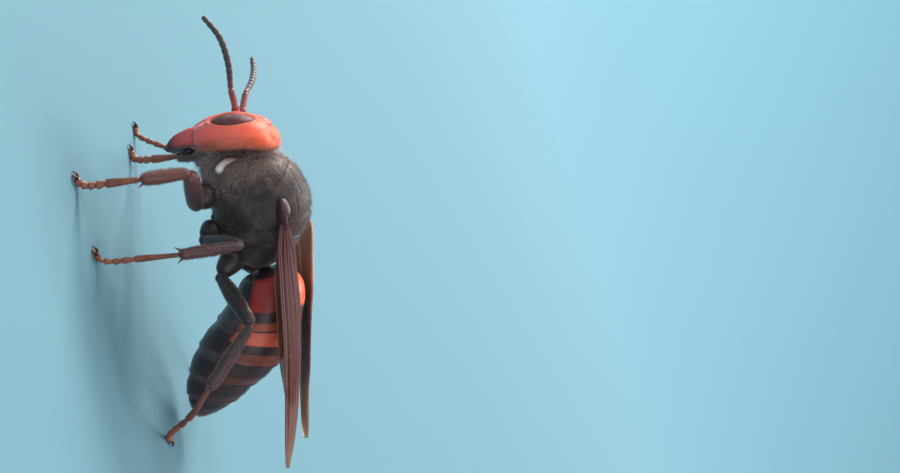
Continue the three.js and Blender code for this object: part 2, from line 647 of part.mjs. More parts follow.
// Five tarsal members, each flared at its far end.
function tarsusSwell(t) {
  const ends = [0.5, 0.64, 0.75, 0.85, 1.0];
  const starts = [0, ...ends];
  const i = ends.findIndex((e) => t <= e + 1e-9);
  const local = (t - starts[i]) / (ends[i] - starts[i]);
  return 0.78 + 0.3 * THREE.MathUtils.smoothstep(local, 0.1, 0.95);
}

function makeLeg(name, leg) {
  const { hip, trochanter, knee, ankle, sole } = leg;
  const coxaRoute = [hip, trochanter];
  const femurRoute = [trochanter, knee];
  const tibiaRoute = [knee, ankle];
  const coxa = limb(coxaRoute, leg.coxa, { steps: 4, sides: 12 });
  addNode("coxa_" + name, cut(coxa, thoraxGrown), COLOURS.leg);

  const femur = limb(femurRoute, leg.femur, { steps: 5 });
  const coxaGrown = limb(coxaRoute, leg.coxa, { steps: 4, sides: 12, grow: 1.1 * GAP });
  addNode("femur_" + name, cut(femur, coxaGrown, thoraxGrown), COLOURS.leg);

  const femurGrown = limb(femurRoute, leg.femur, { steps: 5, grow: 1.1 * GAP });
  const tibia = limb(tibiaRoute, leg.tibia, { steps: 5, back: [0, GAP / 2] });
  const down = vector(ankle).sub(vector(knee)).normalize();
  const outward = new THREE.Vector3(0, 0, 1).cross(down).normalize();
  const spurs = (name.startsWith("fore") ? [1] : [1, -1]).map((sign) => {
    const root = vector(ankle).addScaledVector(down, -0.75).addScaledVector(outward, sign * 0.25);
    const tip = root.clone().addScaledVector(down, SPUR_LENGTH).addScaledVector(outward, sign * 0.75);
    return spike([root, tip], [0.26, 0.08]);
  });
  addNode("tibia_" + name, joined(cut(tibia, femurGrown), ...spurs), COLOURS.leg);

  const footRoute = [ankle, ...sole];
  const foot = limb(footRoute, [leg.foot, leg.foot], {
    sides: FOOT_SIDES,
    steps: 14,
    back: [1.4 * GAP, 0],
    swell: tarsusSwell,
  });
  addNode("tarsus_" + name, cut(joined(foot, ...claws(footRoute, leg.foot)), floor), COLOURS.foot);
}

makeHead();
makeAntennae();
makeThorax();
makeTegulae();
makeWings();
makeGaster();
for (const [name, leg] of Object.entries(LEGS)) makeLeg(name, leg);

hornet.position.set(-MIDDLE.x, -MIDDLE.y, 0);

export default hornet;
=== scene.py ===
"""A still, life-size museum model of an Asian giant hornet worker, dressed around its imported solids.

Lengths in the tables below are millimetres in the layout of the solids, before the model was centred
on the floor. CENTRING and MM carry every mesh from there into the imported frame, which is in metres.
"""

import json
import logging
import math
from dataclasses import dataclass, replace
from enum import Enum
from typing import Callable, ClassVar, Optional, Sequence, Union

import bpy
import numpy as np
from mathutils import Matrix, Vector

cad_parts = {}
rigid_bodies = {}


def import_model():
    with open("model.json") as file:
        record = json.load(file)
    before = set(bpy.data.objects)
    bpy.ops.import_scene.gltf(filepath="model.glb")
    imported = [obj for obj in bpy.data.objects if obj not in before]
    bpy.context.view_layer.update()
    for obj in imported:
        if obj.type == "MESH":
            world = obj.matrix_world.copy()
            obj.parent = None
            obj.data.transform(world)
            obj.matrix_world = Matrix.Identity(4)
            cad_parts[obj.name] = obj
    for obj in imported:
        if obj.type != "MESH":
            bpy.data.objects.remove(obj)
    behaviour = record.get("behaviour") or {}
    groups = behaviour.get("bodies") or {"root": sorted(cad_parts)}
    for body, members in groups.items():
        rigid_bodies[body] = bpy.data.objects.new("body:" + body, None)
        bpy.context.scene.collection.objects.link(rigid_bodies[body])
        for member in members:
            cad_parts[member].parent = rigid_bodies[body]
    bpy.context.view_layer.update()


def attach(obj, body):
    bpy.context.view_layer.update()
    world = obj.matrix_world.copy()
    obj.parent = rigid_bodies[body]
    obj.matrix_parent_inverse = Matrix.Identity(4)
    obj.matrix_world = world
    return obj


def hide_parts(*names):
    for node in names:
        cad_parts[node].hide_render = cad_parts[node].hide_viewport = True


LOG = logging.getLogger("hornet")
Array = np.ndarray
Colour = tuple[float, float, float]
Spot = Sequence[float]
Object = bpy.types.Object
Material = bpy.types.Material

MM = 0.001
CENTRING = np.array([3.58, 3.0, 0.0])
BODY = "root"
FLAT_MAP = "Unwrap"
BAKE_MAP = "OFBake"
# The width of a hair's patch on the map for baking, and of the empty edge of a tile, as shares.
TUFT_PATCH = 0.003
TILE_EDGE = 0.01
# A direction that no limb runs along. The rings of a limb are counted from it.
ASKEW = (0.31, 0.11, 0.95)


class Side(Enum):
    """The hornet's own left and right, as the sign of Y."""

    LEFT = 1
    RIGHT = -1

    @property
    def word(self) -> str:
        """The side's name as the nodes spell it."""
        return self.name.lower()

    def put(self, points: Array) -> Array:
        """Points given for the left side, moved to this side."""
        return points * np.array([1.0, float(self.value), 1.0])


class Slot(Enum):
    """The record's material slots."""

    HEAD = "head_orange"
    EYE = "eye_dark"
    JAW = "mandible_brown"
    SCAPE = "scape_red"
    FLAGELLUM = "flagellum_brown"
    THORAX = "thorax_brown"
    GASTER = "gaster_banded"
    LEG = "leg_brown"
    FOOT = "tarsus_amber"
    WING = "wing_amber"


def unit(vectors: Array) -> Array:
    """Vectors scaled to length one."""
    return vectors / np.maximum(np.linalg.norm(vectors, axis=-1, keepdims=True), 1e-9)


def smooth(x: Array, low: float, high: float) -> Array:
    """A soft step from 0 at low to 1 at high."""
    t = np.clip((x - low) / (high - low), 0.0, 1.0)
    return t * t * (3.0 - 2.0 * t)


def fade(x: Array, low: float, high: float) -> Array:
    """A soft step from 1 at low to 0 at high."""
    return 1.0 - smooth(x, low, high)


def hump(x: Array, centre: float, width: float) -> Array:
    """A bell of height one round a centre."""
    return np.exp(-(((x - centre) / width) ** 2))


def powered(x: Array, power: float) -> Array:
    """A sine or cosine squared off towards its corners, its sign kept."""
    return np.sign(x) * np.abs(x) ** (2.0 / power)


class Route:
    """A smooth curve through given points, the same one that the solids are swept along."""

    # Places at which the length is measured, and the step that gives a direction, as a share.
    SAMPLES = 801
    STEP = 1e-3

    def __init__(self, points: Sequence[Spot]) -> None:
        """Keeps the points and measures the curve.

        Args:
            points: Places that the curve passes through, in order.
        """
        self.points = np.asarray(points, float)
        self._shares = np.linspace(0.0, 1.0, self.SAMPLES)
        steps = np.linalg.norm(np.diff(self.at(self._shares), axis=0), axis=1)
        self._walked = np.concatenate([[0.0], np.cumsum(steps)])
        self.length = float(self._walked[-1])

    def at(self, share: Array) -> Array:
        """Points at shares counted evenly over the spans between the set points.

        Args:
            share: Values from 0 at the first point to 1 at the last.

        Returns:
            One point for each share.
        """
        share = np.clip(np.atleast_1d(np.asarray(share, float)), 0.0, 1.0)
        last = len(self.points) - 1
        place = share * last
        i = np.minimum(place.astype(int), last - 1)
        w = (place - i)[:, None]
        before = 2 * self.points[0] - self.points[1]
        beyond = 2 * self.points[-1] - self.points[-2]
        padded = np.vstack([before, self.points, beyond])
        p0, p1, p2, p3 = (padded[i + k] for k in range(4))
        d0, d1, d2 = (
            np.maximum(np.linalg.norm(b - a, axis=1, keepdims=True), 1e-8) ** 0.5
            for a, b in ((p0, p1), (p1, p2), (p2, p3))
        )
        t1 = ((p1 - p0) / d0 - (p2 - p0) / (d0 + d1) + (p2 - p1) / d1) * d1
        t2 = ((p2 - p1) / d1 - (p3 - p1) / (d1 + d2) + (p3 - p2) / d2) * d1
        square = -3 * p1 + 3 * p2 - 2 * t1 - t2
        cube = 2 * p1 - 2 * p2 + t1 + t2
        return p1 + w * t1 + w**2 * square + w**3 * cube

    def heading(self, share: Array) -> Array:
        """Unit tangents at shares counted over the spans."""
        return unit(self.at(share + self.STEP) - self.at(share - self.STEP))

    def walk(self, share: Array) -> tuple[Array, Array]:
        """Points and unit tangents at shares of the curve's real length.

        Args:
            share: Values from 0 to 1. Past either end the curve runs on straight.

        Returns:
            The points and the tangents.
        """
        share = np.atleast_1d(np.asarray(share, float))
        held = np.clip(share, 0.0, 1.0)
        place = np.interp(held * self.length, self._walked, self._shares)
        tangent = self.heading(place)
        beyond = (share - held)[:, None] * self.length
        return self.at(place) + tangent * beyond, tangent


class Net:
    """A grid of points, rows from one end to the other and columns closed round each row."""

    # Rows of a rounded end.
    CAP = 7

    def __init__(self, points: Array, place: Optional[Array] = None) -> None:
        """Keeps the grid.

        Args:
            points: An array of rows, columns and coordinates.
            place: What each row is counted by, or its number when left out.
        """
        self.points = points
        self.place = np.arange(len(points), dtype=float) if place is None else place

    @property
    def shape(self) -> tuple[int, int]:
        """Rows and columns."""
        return self.points.shape[0], self.points.shape[1]

    @property
    def along(self) -> Array:
        """Each row's place, spread over the columns."""
        return self.rows(self.place)

    def turn(self) -> Array:
        """How far round its row each point lies, from 0 to 1, for every row."""
        rows, columns = self.shape
        return np.tile(np.arange(columns) / columns, (rows, 1))

    def rows(self, values: Array) -> Array:
        """Values given one for each row, spread over the columns."""
        return np.repeat(np.asarray(values, float)[:, None], self.shape[1], axis=1)

    def lie(self) -> Array:
        """The direction from each row to the next."""
        return unit(np.gradient(self.points, axis=0))

    def normals(self) -> Array:
        """Directions out of the form.

        Returns:
            A unit vector for each point.
        """
        around = np.roll(self.points, -1, axis=1) - np.roll(self.points, 1, axis=1)
        normal = unit(np.cross(around, np.gradient(self.points, axis=0)))
        outward = self.points - self.points.mean(axis=1, keepdims=True)
        return normal if np.sum(normal * outward) > 0 else -normal

    def pushed(self, distance: Array) -> "Net":
        """The net moved along its normals by a distance at each point."""
        return Net(self.points + self.normals() * distance[..., None], self.place)

    def domed(self, heights: tuple[float, float]) -> "Net":
        """The net with a rounded cap of rows at each end.

        Args:
            heights: How far the first and the last cap reach.

        Returns:
            A longer net whose added rows keep the place of the end that they cap.
        """
        angles = np.linspace(0.0, math.pi / 2, self.CAP + 1)[1:]
        caps = []
        for end, inner, height in ((0, 1, heights[0]), (-1, -2, heights[1])):
            ring = self.points[end]
            centre = ring.mean(axis=0)
            outward = unit(centre - self.points[inner].mean(axis=0))
            scale = np.maximum(np.cos(angles), 0.02)[:, None, None]
            caps.append(centre + (ring - centre) * scale + outward * height * np.sin(angles)[:, None, None])
        points = np.concatenate([caps[0][::-1], self.points, caps[1]])
        return Net(points, np.pad(self.place, self.CAP, "edge"))

    def faces(self) -> tuple[Array, Array, Array, Array]:
        """Corner lists and flat places of the skin.

        Returns:
            Quads, their flat places, triangles of the two end fans, and theirs.
        """
        rows, columns = self.shape
        r, c = np.meshgrid(np.arange(rows - 1), np.arange(columns), indexing="ij")
        n = (c + 1) % columns
        quads = np.stack([r * columns + c, r * columns + n, (r + 1) * columns + n, (r + 1) * columns + c], -1)
        u0, u1, v0, v1 = c / columns, (c + 1) / columns, (r + 1) / (rows + 1), (r + 2) / (rows + 1)
        flat = np.stack([np.stack(p, -1) for p in ((u0, v0), (u1, v0), (u1, v1), (u0, v1))], -2)
        c = np.arange(columns)
        n = (c + 1) % columns
        count = rows * columns
        first = np.stack([np.full(columns, count), n, c], -1)
        last = np.stack([np.full(columns, count + 1), (rows - 1) * columns + c, (rows - 1) * columns + n], -1)
        low, high = np.full(columns, 1 / (rows + 1)), np.full(columns, rows / (rows + 1))
        ends = []
        for pole, level, order in ((0.0, low, (1, 0)), (1.0, high, (0, 1))):
            middle = np.stack([(c + 0.5) / columns, np.full(columns, pole)], -1)
            rim = [np.stack([(c + k) / columns, level], -1) for k in order]
            ends.append(np.stack([middle, *rim], -2))
        return quads.reshape(-1, 4), flat.reshape(-1, 4, 2), np.vstack([first, last]), np.vstack(ends)


def ball(centre: Spot, half: Spot, rows: int, columns: int) -> Net:
    """A rounded body with three half axes.

    Args:
        centre: Its middle.
        half: Its half axes along X, Y and Z.
        rows: Rings from pole to pole along Z.
        columns: Points of a ring.

    Returns:
        The net, its poles along Z.
    """
    polar = np.linspace(0.04, math.pi - 0.04, rows)[:, None]
    round_ = np.linspace(0.0, math.tau, columns, endpoint=False)[None, :]
    level = np.cos(polar) * np.ones_like(round_)
    points = np.stack([np.sin(polar) * np.cos(round_), np.sin(polar) * np.sin(round_), level], -1)
    return Net(points * np.asarray(half) + np.asarray(centre))


def limb(
    route: Route, radii: Sequence[float], columns: int, rings: int,
    swell: Callable[[Array], Array] = np.ones_like,
) -> Net:
    """A tapered round limb along a route, rounded at both ends.

    Args:
        route: Its middle line.
        radii: Evenly spaced radii that its thickness passes through.
        columns: Points of a ring.
        rings: Rings between the rounded ends.
        swell: A factor on the radius for each share of the length.

    Returns:
        The net, its place running from 0 to 1 along the route.
    """
    shape = np.polyfit(np.linspace(0.0, 1.0, len(radii)), radii, len(radii) - 1)

    def radius(share: Array) -> Array:
        """The radius at shares of the length."""
        share = np.clip(share, 0.0, 1.0)
        return np.polyval(shape, share) * swell(share)

    first, last = radius(np.array([0.0, 1.0])) / route.length
    bend = np.linspace(0.12, math.pi / 2, 8)
    head = first * (1 - np.cos(bend))
    tail = 1.0 - last * (1 - np.cos(bend))
    share = np.concatenate([head, np.linspace(head[-1], tail[-1], rings + 2)[1:-1], tail[::-1]])
    ends = np.concatenate([np.sin(bend), np.ones(rings), np.sin(bend)[::-1]])
    middle, tangent = route.walk(share)
    side = unit(np.cross(route.points[-1] - route.points[0], ASKEW))
    across = unit(np.cross(tangent, side))
    along = unit(np.cross(across, tangent))
    angle = np.linspace(0.0, math.tau, columns, endpoint=False)
    size = (radius(share) * ends)[:, None, None]
    ring = along[:, None] * np.cos(angle)[:, None] + across[:, None] * np.sin(angle)[:, None]
    return Net(middle[:, None] + ring * size, share)


class Shell:
    """A body form through sections, each with a top and a bottom point and half a width."""

    def __init__(self, rows: Sequence[Spot], power: float) -> None:
        """Lays the upper and lower curves through the sections.

        Args:
            rows: For each section top x and z, bottom x and z, and half the width.
            power: How square the sections are, 2 for an ellipse.
        """
        self.count = len(rows)
        self.power = power
        self.upper = Route([(r[0], r[4], r[1]) for r in rows])
        self.lower = Route([(r[2], r[4], r[3]) for r in rows])

    def spots(self, places: Array, turns: Array, grow: Union[float, Array] = 0.0) -> Array:
        """Points of the form.

        Args:
            places: How far along it they lie, counted in rows of the table.
            turns: How far round it, from 0 at the top, 0.25 at the left and so on.
            grow: How much wider than the table the form is at each.

        Returns:
            One point for each place and turn.
        """
        places, turns, grow = np.broadcast_arrays(places, turns, grow)
        share = places.ravel() / (self.count - 1)
        upper, lower = self.upper.at(share), self.lower.at(share)
        half = (upper[:, 1] + lower[:, 1]) / 2 + grow.ravel()
        upper, lower = upper * [1, 0, 1], lower * [1, 0, 1]
        rise = (upper - lower) / 2
        rise = rise + unit(rise) * grow.reshape(-1, 1)
        angle = math.tau * turns.ravel()
        points = (upper + lower) / 2 + rise * powered(np.cos(angle), self.power)[:, None]
        points[:, 1] += powered(np.sin(angle), self.power) * half
        return points.reshape(*places.shape, 3)

    def net(self, places: Array, columns: int, grow: Union[float, Array] = 0.0) -> Net:
        """Sections at places counted in rows of the table.

        Args:
            places: Where each section lies.
            columns: Points round a section, the first at its top and the next towards the left.
            grow: How much wider than the table each section is.

        Returns:
            The net of the sections.
        """
        places = np.asarray(places, float)
        grow = np.broadcast_to(np.asarray(grow, float), places.shape)
        turns = np.arange(columns) / columns
        return Net(self.spots(places[:, None], turns[None, :], grow[:, None]), places)


def linked(name: str, data: bpy.types.ID) -> Object:
    """Adds an object to the scene.

    Args:
        name: What it is called.
        data: Its mesh, light or camera.

    Returns:
        The object, at the origin.
    """
    made = bpy.data.objects.new(name, data)
    bpy.context.collection.objects.link(made)
    return made


class Skin:
    """Closed nets gathered into one mesh, with values at its points and a flat map of tiles."""

    def __init__(self, name: str) -> None:
        """Starts an empty skin under the name of its piece."""
        self.name = name
        self.parts: list[tuple[Net, dict[str, Array]]] = []

    def add(self, net: Net, **values: Union[float, Array]) -> "Skin":
        """Adds a closed net.

        Args:
            net: The net, without its poles.
            values: Numbers or vectors for each of its points, or one number for them all.

        Returns:
            The skin itself.
        """
        spread = {}
        for key, value in values.items():
            value = np.asarray(value, float)
            spread[key] = value if value.ndim > 1 else np.full(net.shape, float(value))
        self.parts.append((net, spread))
        return self

    def build(self, material: Material) -> Object:
        """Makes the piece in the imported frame, its faces pointing outwards.

        Args:
            material: Its finish.

        Returns:
            The object, at the origin, with its place in its mesh.
        """
        tiles, inner = math.ceil(math.sqrt(len(self.parts))), 1.0 - 2 * TILE_EDGE
        points, loops, sizes, flats = [], [], [], []
        columns: dict[str, list[Array]] = {}
        count = 0
        for number, (net, values) in enumerate(self.parts):
            poles = np.stack([net.points[0].mean(axis=0), net.points[-1].mean(axis=0)])
            own = np.vstack([net.points.reshape(-1, 3), poles])
            quads, quad_flat, fans, fan_flat = net.faces()
            halves = np.vstack([quads[:, :3], quads[:, [0, 2, 3]], fans])
            a, b, c = (own[halves[:, k]] for k in range(3))
            if np.sum(a * np.cross(b, c)) < 0:
                quads, quad_flat, fans, fan_flat = (x[:, ::-1] for x in (quads, quad_flat, fans, fan_flat))
            corner = np.array([number % tiles, number // tiles]) / tiles
            points.append(own)
            loops += [quads.ravel() + count, fans.ravel() + count]
            sizes += [np.full(len(quads), 4), np.full(len(fans), 3)]
            flats += [(f.reshape(-1, 2) * inner + TILE_EDGE) / tiles + corner for f in (quad_flat, fan_flat)]
            for key, value in values.items():
                ends = np.stack([value[0].mean(axis=0), value[-1].mean(axis=0)])
                flat = np.concatenate([value.reshape(-1, *value.shape[2:]), ends])
                columns.setdefault(key, []).append(flat)
            count += len(own)
        mesh = bpy.data.meshes.new(self.name)
        placed = (np.vstack(points) + CENTRING) * MM
        corners, totals = np.concatenate(loops), np.concatenate(sizes)
        mesh.vertices.add(count)
        mesh.vertices.foreach_set("co", placed.ravel())
        mesh.loops.add(len(corners))
        mesh.loops.foreach_set("vertex_index", corners)
        mesh.polygons.add(len(totals))
        mesh.polygons.foreach_set("loop_start", np.concatenate([[0], np.cumsum(totals)[:-1]]))
        mesh.polygons.foreach_set("use_smooth", np.ones(len(totals), bool))
        mesh.uv_layers.new(name=FLAT_MAP).uv.foreach_set("vector", np.vstack(flats).ravel())
        for key, parts in columns.items():
            value = np.concatenate(parts)
            kind, field = ("FLOAT_VECTOR", "vector") if value.ndim == 2 else ("FLOAT", "value")
            mesh.attributes.new(key, kind, "POINT").data.foreach_set(field, value.ravel())
        mesh.update(calc_edges=True)
        mesh.validate()
        mesh.materials.append(material)
        return linked(self.name, mesh)


def show(piece: Object, slot: Slot, *nodes: str) -> Object:
    """Puts a piece on the model's one body.

    Args:
        piece: The finished object.
        slot: The record's slot that its finish belongs to; not used.
        nodes: The solids that it stands for.

    Returns:
        The piece.
    """
    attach(piece, BODY)
    if nodes:
        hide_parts(*nodes)
    LOG.info("%s: %d faces", piece.name, len(piece.data.polygons))
    return piece


class Value:
    """A number, vector or colour output inside a node tree, used in sums as a Python value."""

    def __init__(self, maker: "NodeMaker", socket: Optional[bpy.types.NodeSocket]) -> None:
        """Wraps an output socket of a tree, or nothing where a node ends its tree."""
        self.maker = maker
        self.socket = socket

    def _sum(self, operation: str, first: "Term", second: "Term") -> "Value":
        """One Math node, or one Vector Math node where this value is a vector.

        Args:
            operation: What the node works out.
            first: Its first term.
            second: Its second term.

        Returns:
            The node's result.
        """
        if self.socket.type != "VECTOR":
            return self.maker.node("ShaderNodeMath", {"operation": operation}, {0: first, 1: second})
        if operation == "MULTIPLY" and not isinstance(second, (tuple, Vector)):
            return self.maker.node("ShaderNodeVectorMath", {"operation": "SCALE"}, {0: first, 3: second})
        return self.maker.node("ShaderNodeVectorMath", {"operation": operation}, {0: first, 1: second})

    def __add__(self, other: "Term") -> "Value":
        """This value plus another."""
        return self._sum("ADD", self, other)

    def __radd__(self, other: "Term") -> "Value":
        """A number plus this value."""
        return self._sum("ADD", other, self)

    def __sub__(self, other: "Term") -> "Value":
        """This value less another."""
        return self._sum("SUBTRACT", self, other)

    def __rsub__(self, other: "Term") -> "Value":
        """A number less this value."""
        return self._sum("SUBTRACT", other, self)

    def __mul__(self, other: "Term") -> "Value":
        """This value times another."""
        return self._sum("MULTIPLY", self, other)

    def __rmul__(self, other: "Term") -> "Value":
        """A number times this value."""
        return self._sum("MULTIPLY", self, other)

    def __pow__(self, other: "Term") -> "Value":
        """This value to a power."""
        return self._sum("POWER", self, other)

    def __abs__(self) -> "Value":
        """This value without its sign."""
        return self._sum("ABSOLUTE", self, 0.0)

    def cosine(self) -> "Value":
        """The cosine of this value in radians."""
        return self._sum("COSINE", self, 0.0)

    def larger(self, other: "Term") -> "Value":
        """The larger of two values."""
        return self._sum("MAXIMUM", self, other)

    def step(self, low: float, high: float) -> "Value":
        """A soft step from 0 where this value is low to 1 where it is high."""
        limits = {0: self, 1: low, 2: high, 3: 0.0, 4: 1.0}
        return self.maker.node("ShaderNodeMapRange", {"interpolation_type": "SMOOTHSTEP"}, limits)

    def within(self, low: float, high: float, soft: float) -> "Value":
        """A mask that is 1 between two values, with soft edges."""
        return self.step(low - soft, low + soft) * (1.0 - self.step(high - soft, high + soft))

    def blend(self, none: "Term", full: "Term") -> "Value":
        """A colour that goes from one to another as this mask goes from 0 to 1."""
        inputs = {0: self, 6: none, 7: full}
        return self.maker.node("ShaderNodeMix", {"data_type": "RGBA"}, inputs, 2)

    def parts(self) -> tuple["Value", "Value", "Value"]:
        """The three numbers of a vector."""
        first = self.maker.node("ShaderNodeSeparateXYZ", {}, {0: self})
        return first, first.other(1), first.other(2)

    def other(self, output: Union[int, str]) -> "Value":
        """Another output of the node that this value comes from."""
        return Value(self.maker, self.socket.node.outputs[output])


Term = Union[Value, float, int, bool, str, tuple]


class NodeMaker:
    """Adds nodes to one tree, for a finish or for a modifier."""

    def __init__(self, tree: bpy.types.NodeTree) -> None:
        """Works on the given tree."""
        self.tree = tree

    def node(
        self,
        kind: str,
        settings: dict[str, object],
        inputs: dict[Union[int, str], Term],
        output: Union[int, str] = 0,
    ) -> Value:
        """Adds one node.

        Args:
            kind: The node's type.
            settings: Its own settings, which are set before its sockets.
            inputs: Values or links by the number or the name of each socket.
            output: Which output is handed back.

        Returns:
            The chosen output.
        """
        node = self.tree.nodes.new(kind)
        for key, setting in settings.items():
            setattr(node, key, setting)
        for key, value in inputs.items():
            socket = node.inputs[key]
            if isinstance(value, Value):
                self.tree.links.new(value.socket, socket)
            elif socket.type == "RGBA":
                socket.default_value = (*value[:3], 1.0)
            else:
                socket.default_value = value
        return Value(self, node.outputs[output] if len(node.outputs) else None)

    def noise(self, where: Value, scale: float, detail: float, rough: float) -> Value:
        """Cloudy noise at a number of clouds for each metre."""
        inputs = {"Vector": where, "Scale": scale, "Detail": detail, "Roughness": rough}
        return self.node("ShaderNodeTexNoise", {}, inputs, "Fac")

    def cells(self, where: Value, scale: float) -> Value:
        """Distance from the middle of the nearest cell, at a number of cells for each metre."""
        return self.node("ShaderNodeTexVoronoi", {}, {"Vector": where, "Scale": scale}, "Distance")


@dataclass(frozen=True)
class Gloss:
    """How a surface shines: roughness, a clear layer, a sheen, light spread inside, and its mirror share."""

    roughness: float
    vary: float
    layer: float = 0.0
    layer_roughness: float = 0.15
    sheen: float = 0.0
    glow: float = 0.0
    shine: float = 0.4


@dataclass(frozen=True)
class Relief:
    """Fine relief in metres: pits of so many to the metre, and a finer grain."""

    pits: float = 5200.0
    pit_depth: float = 0.00002
    grain: float = 21000.0
    grain_depth: float = 0.000006


@dataclass(frozen=True)
class Surface:
    """What a finish goes by at each point: its layout place in millimetres, and soft noise about a half."""

    maker: NodeMaker
    x: Value
    y: Value
    z: Value
    cloud: Value

    def kept(self, name: str) -> Value:
        """A number kept at the points of the piece."""
        return self.maker.node("ShaderNodeAttribute", {"attribute_name": name}, {}, "Fac")


@dataclass(frozen=True)
class Finish:
    """A finish of one slot. Each kind of surface gives its own colours."""

    name: str
    gloss: Gloss
    relief: Relief = Relief()
    # Clouds to the metre, and how far light spreads inside: its share by colour, and metres.
    clouds: ClassVar[float] = 420.0
    spread: ClassVar[Colour] = (1.0, 0.35, 0.15)
    depth: ClassVar[float] = 0.0008

    def colour(self, at: Surface) -> Value:
        """The surface's colour."""
        raise NotImplementedError

    def clearness(self, at: Surface) -> Term:
        """How opaque the surface is, one number unless a finish varies it."""
        return 1.0

    def material(self) -> Material:
        """Makes the finish's material.

        Returns:
            The material.
        """
        made = bpy.data.materials.new(self.name)
        made.use_nodes = True
        made.node_tree.nodes.clear()
        maker = NodeMaker(made.node_tree)
        where = maker.node("ShaderNodeTexCoord", {}, {}, "Object")
        layout = (part * (1 / MM) - float(c) for part, c in zip(where.parts(), CENTRING))
        at = Surface(maker, *layout, maker.noise(where, self.clouds, 3.0, 0.5))
        fine = maker.noise(where, self.relief.grain, 2.0, 0.6)
        pits = maker.cells(where, self.relief.pits).step(0.04, 0.30)
        height = pits * self.relief.pit_depth + fine * self.relief.grain_depth
        bump = {"Strength": 1.0, "Distance": 1.0, "Height": height}
        normal = maker.node("ShaderNodeBump", {}, bump, "Normal")
        gloss = self.gloss
        rough = at.cloud * (2 * gloss.vary) + (gloss.roughness - gloss.vary)
        inputs = {
            "Base Color": self.colour(at),
            "Roughness": rough,
            "Specular IOR Level": gloss.shine,
            "Normal": normal,
            "Alpha": self.clearness(at),
            "Coat Weight": gloss.layer,
            "Coat Roughness": gloss.layer_roughness,
            "Sheen Weight": gloss.sheen,
            "Subsurface Weight": gloss.glow,
            "Subsurface Radius": self.spread,
            "Subsurface Scale": self.depth,
        }
        shader = maker.node("ShaderNodeBsdfPrincipled", {}, inputs)
        maker.node("ShaderNodeOutputMaterial", {}, {"Surface": shader})
        return made


@dataclass(frozen=True)
class HeadFinish(Finish):
    """Satin orange cuticle, painted light on top, painted shade red lower down, painted shade dark low
    behind, and brown between the simple eyes.
    """

    # Painted light: the first colour is orange painted lit on top and the third a painted shade of red lower
    # down. The last is painted shade low behind, and also the dark of the seams and of the spot between the
    # simple eyes.
    painted_lit_orange: Colour = (0.90, 0.125, 0.045)
    even: Colour = (0.90, 0.165, 0.110)
    painted_shade_red: Colour = (0.70, 0.115, 0.130)
    shade: Colour = (0.07, 0.018, 0.016)
    spot: Spot = (9.35, -0.58, 21.95)

    def colour(self, at: Surface) -> Value:
        """Painted lit orange above, painted shade red below, painted shade dark at the nape's foot, dark
        along seams and round the simple eyes.

        Args:
            at: The point.

        Returns:
            Its colour.
        """
        # Painted light: orange painted lighter higher up the head, a painted shade of red lower down.
        top = (at.cloud + (at.z - 20.0) * 0.12).step(0.35, 0.75).blend(self.even, self.painted_lit_orange)
        body = (at.z + at.cloud * 2.0).step(12.8, 19.5).blend(self.painted_shade_red, top)
        # Painted shade low at the rear of the head, above the neck; the seams take the same dark.
        foot = (1.0 - (at.x + at.cloud).step(9.1, 11.0)) * (1.0 - at.z.step(13.0, 18.5))
        body = foot.larger(at.kept("seam")).blend(body, self.shade)
        x, y, z = at.x - self.spot[0], at.y - self.spot[1], at.z - self.spot[2]
        spot = 1.0 - (x * x + y * y + z * z).step(0.5, 1.9)
        return (spot * 0.3).blend(body, self.shade)


@dataclass(frozen=True)
class EyeFinish(Finish):
    """Dark brown faceted eye with a paler bloom in soft clouds."""

    dark: Colour = (0.115, 0.044, 0.046)
    bloom: Colour = (0.17, 0.07, 0.07)

    def colour(self, at: Surface) -> Value:
        """Brown-black, a little lighter in soft clouds."""
        return at.cloud.step(0.4, 0.7).blend(self.dark, self.bloom)


@dataclass(frozen=True)
class FadingFinish(Finish):
    """A finish that goes from one colour to another along its piece."""

    near: Colour = (0.29, 0.100, 0.088)
    far: Colour = (0.17, 0.060, 0.054)
    start: float = 0.2
    stop: float = 1.1

    def colour(self, at: Surface) -> Value:
        """From the near colour at the root to the far one at the tip."""
        along = at.kept("along") + (at.cloud - 0.5) * 0.3
        return along.step(self.start, self.stop).blend(self.near, self.far)


@dataclass(frozen=True)
class JawFinish(FadingFinish):
    """Red-brown jaw, near black at its tip, and dark along its rear edge, partly its dark margin and partly
    painted shade under the head.
    """

    near: Colour = (0.56, 0.10, 0.10)
    far: Colour = (0.016, 0.010, 0.012)
    start: float = 0.3
    stop: float = 0.86

    def colour(self, at: Surface) -> Value:
        """Fades along the jaw, then darkens towards its rear, partly the dark margin and partly painted
        shade.
        """
        # Darker along the rear edge: partly the jaw's dark margin, partly painted shade under the head.
        rear = 1.0 - (at.x + at.cloud * 0.8).step(9.7, 10.8)
        return rear.blend(super().colour(at), self.far)


@dataclass(frozen=True)
class ThoraxFinish(Finish):
    """Black-brown cuticle, browner on the collar and the scutellum, with a painted highlight low on the
    collar.
    """

    black: Colour = (0.018, 0.0135, 0.0125)
    brown: Colour = (0.14, 0.095, 0.080)
    shield: Colour = (0.045, 0.022, 0.014)
    # The painted highlight's colour: a pale patch low on the collar where light is reflected.
    pale: Colour = (0.97, 0.87, 0.80)

    def colour(self, at: Surface) -> Value:
        """Mottled dark brown with a warmer collar and a warmer rear shield, and a painted highlight low on
        the collar.

        Args:
            at: The point.

        Returns:
            Its colour.
        """
        collar = (at.x + at.cloud * 2.0).step(3.5, 6.5)
        body = (at.cloud.step(0.42, 0.75) * 0.5 + collar * 0.6).blend(self.black, self.brown)
        rear = (1.0 - at.x.step(-2.6, -2.2)) * at.x.step(-4.8, -4.2) * at.z.step(20.6, 21.4)
        body = (rear * 0.8).blend(body, self.shield)
        # The painted highlight: a pale patch low on the collar.
        return (at.kept("mark") * (at.cloud * 0.3 + 0.8)).blend(body, self.pale)


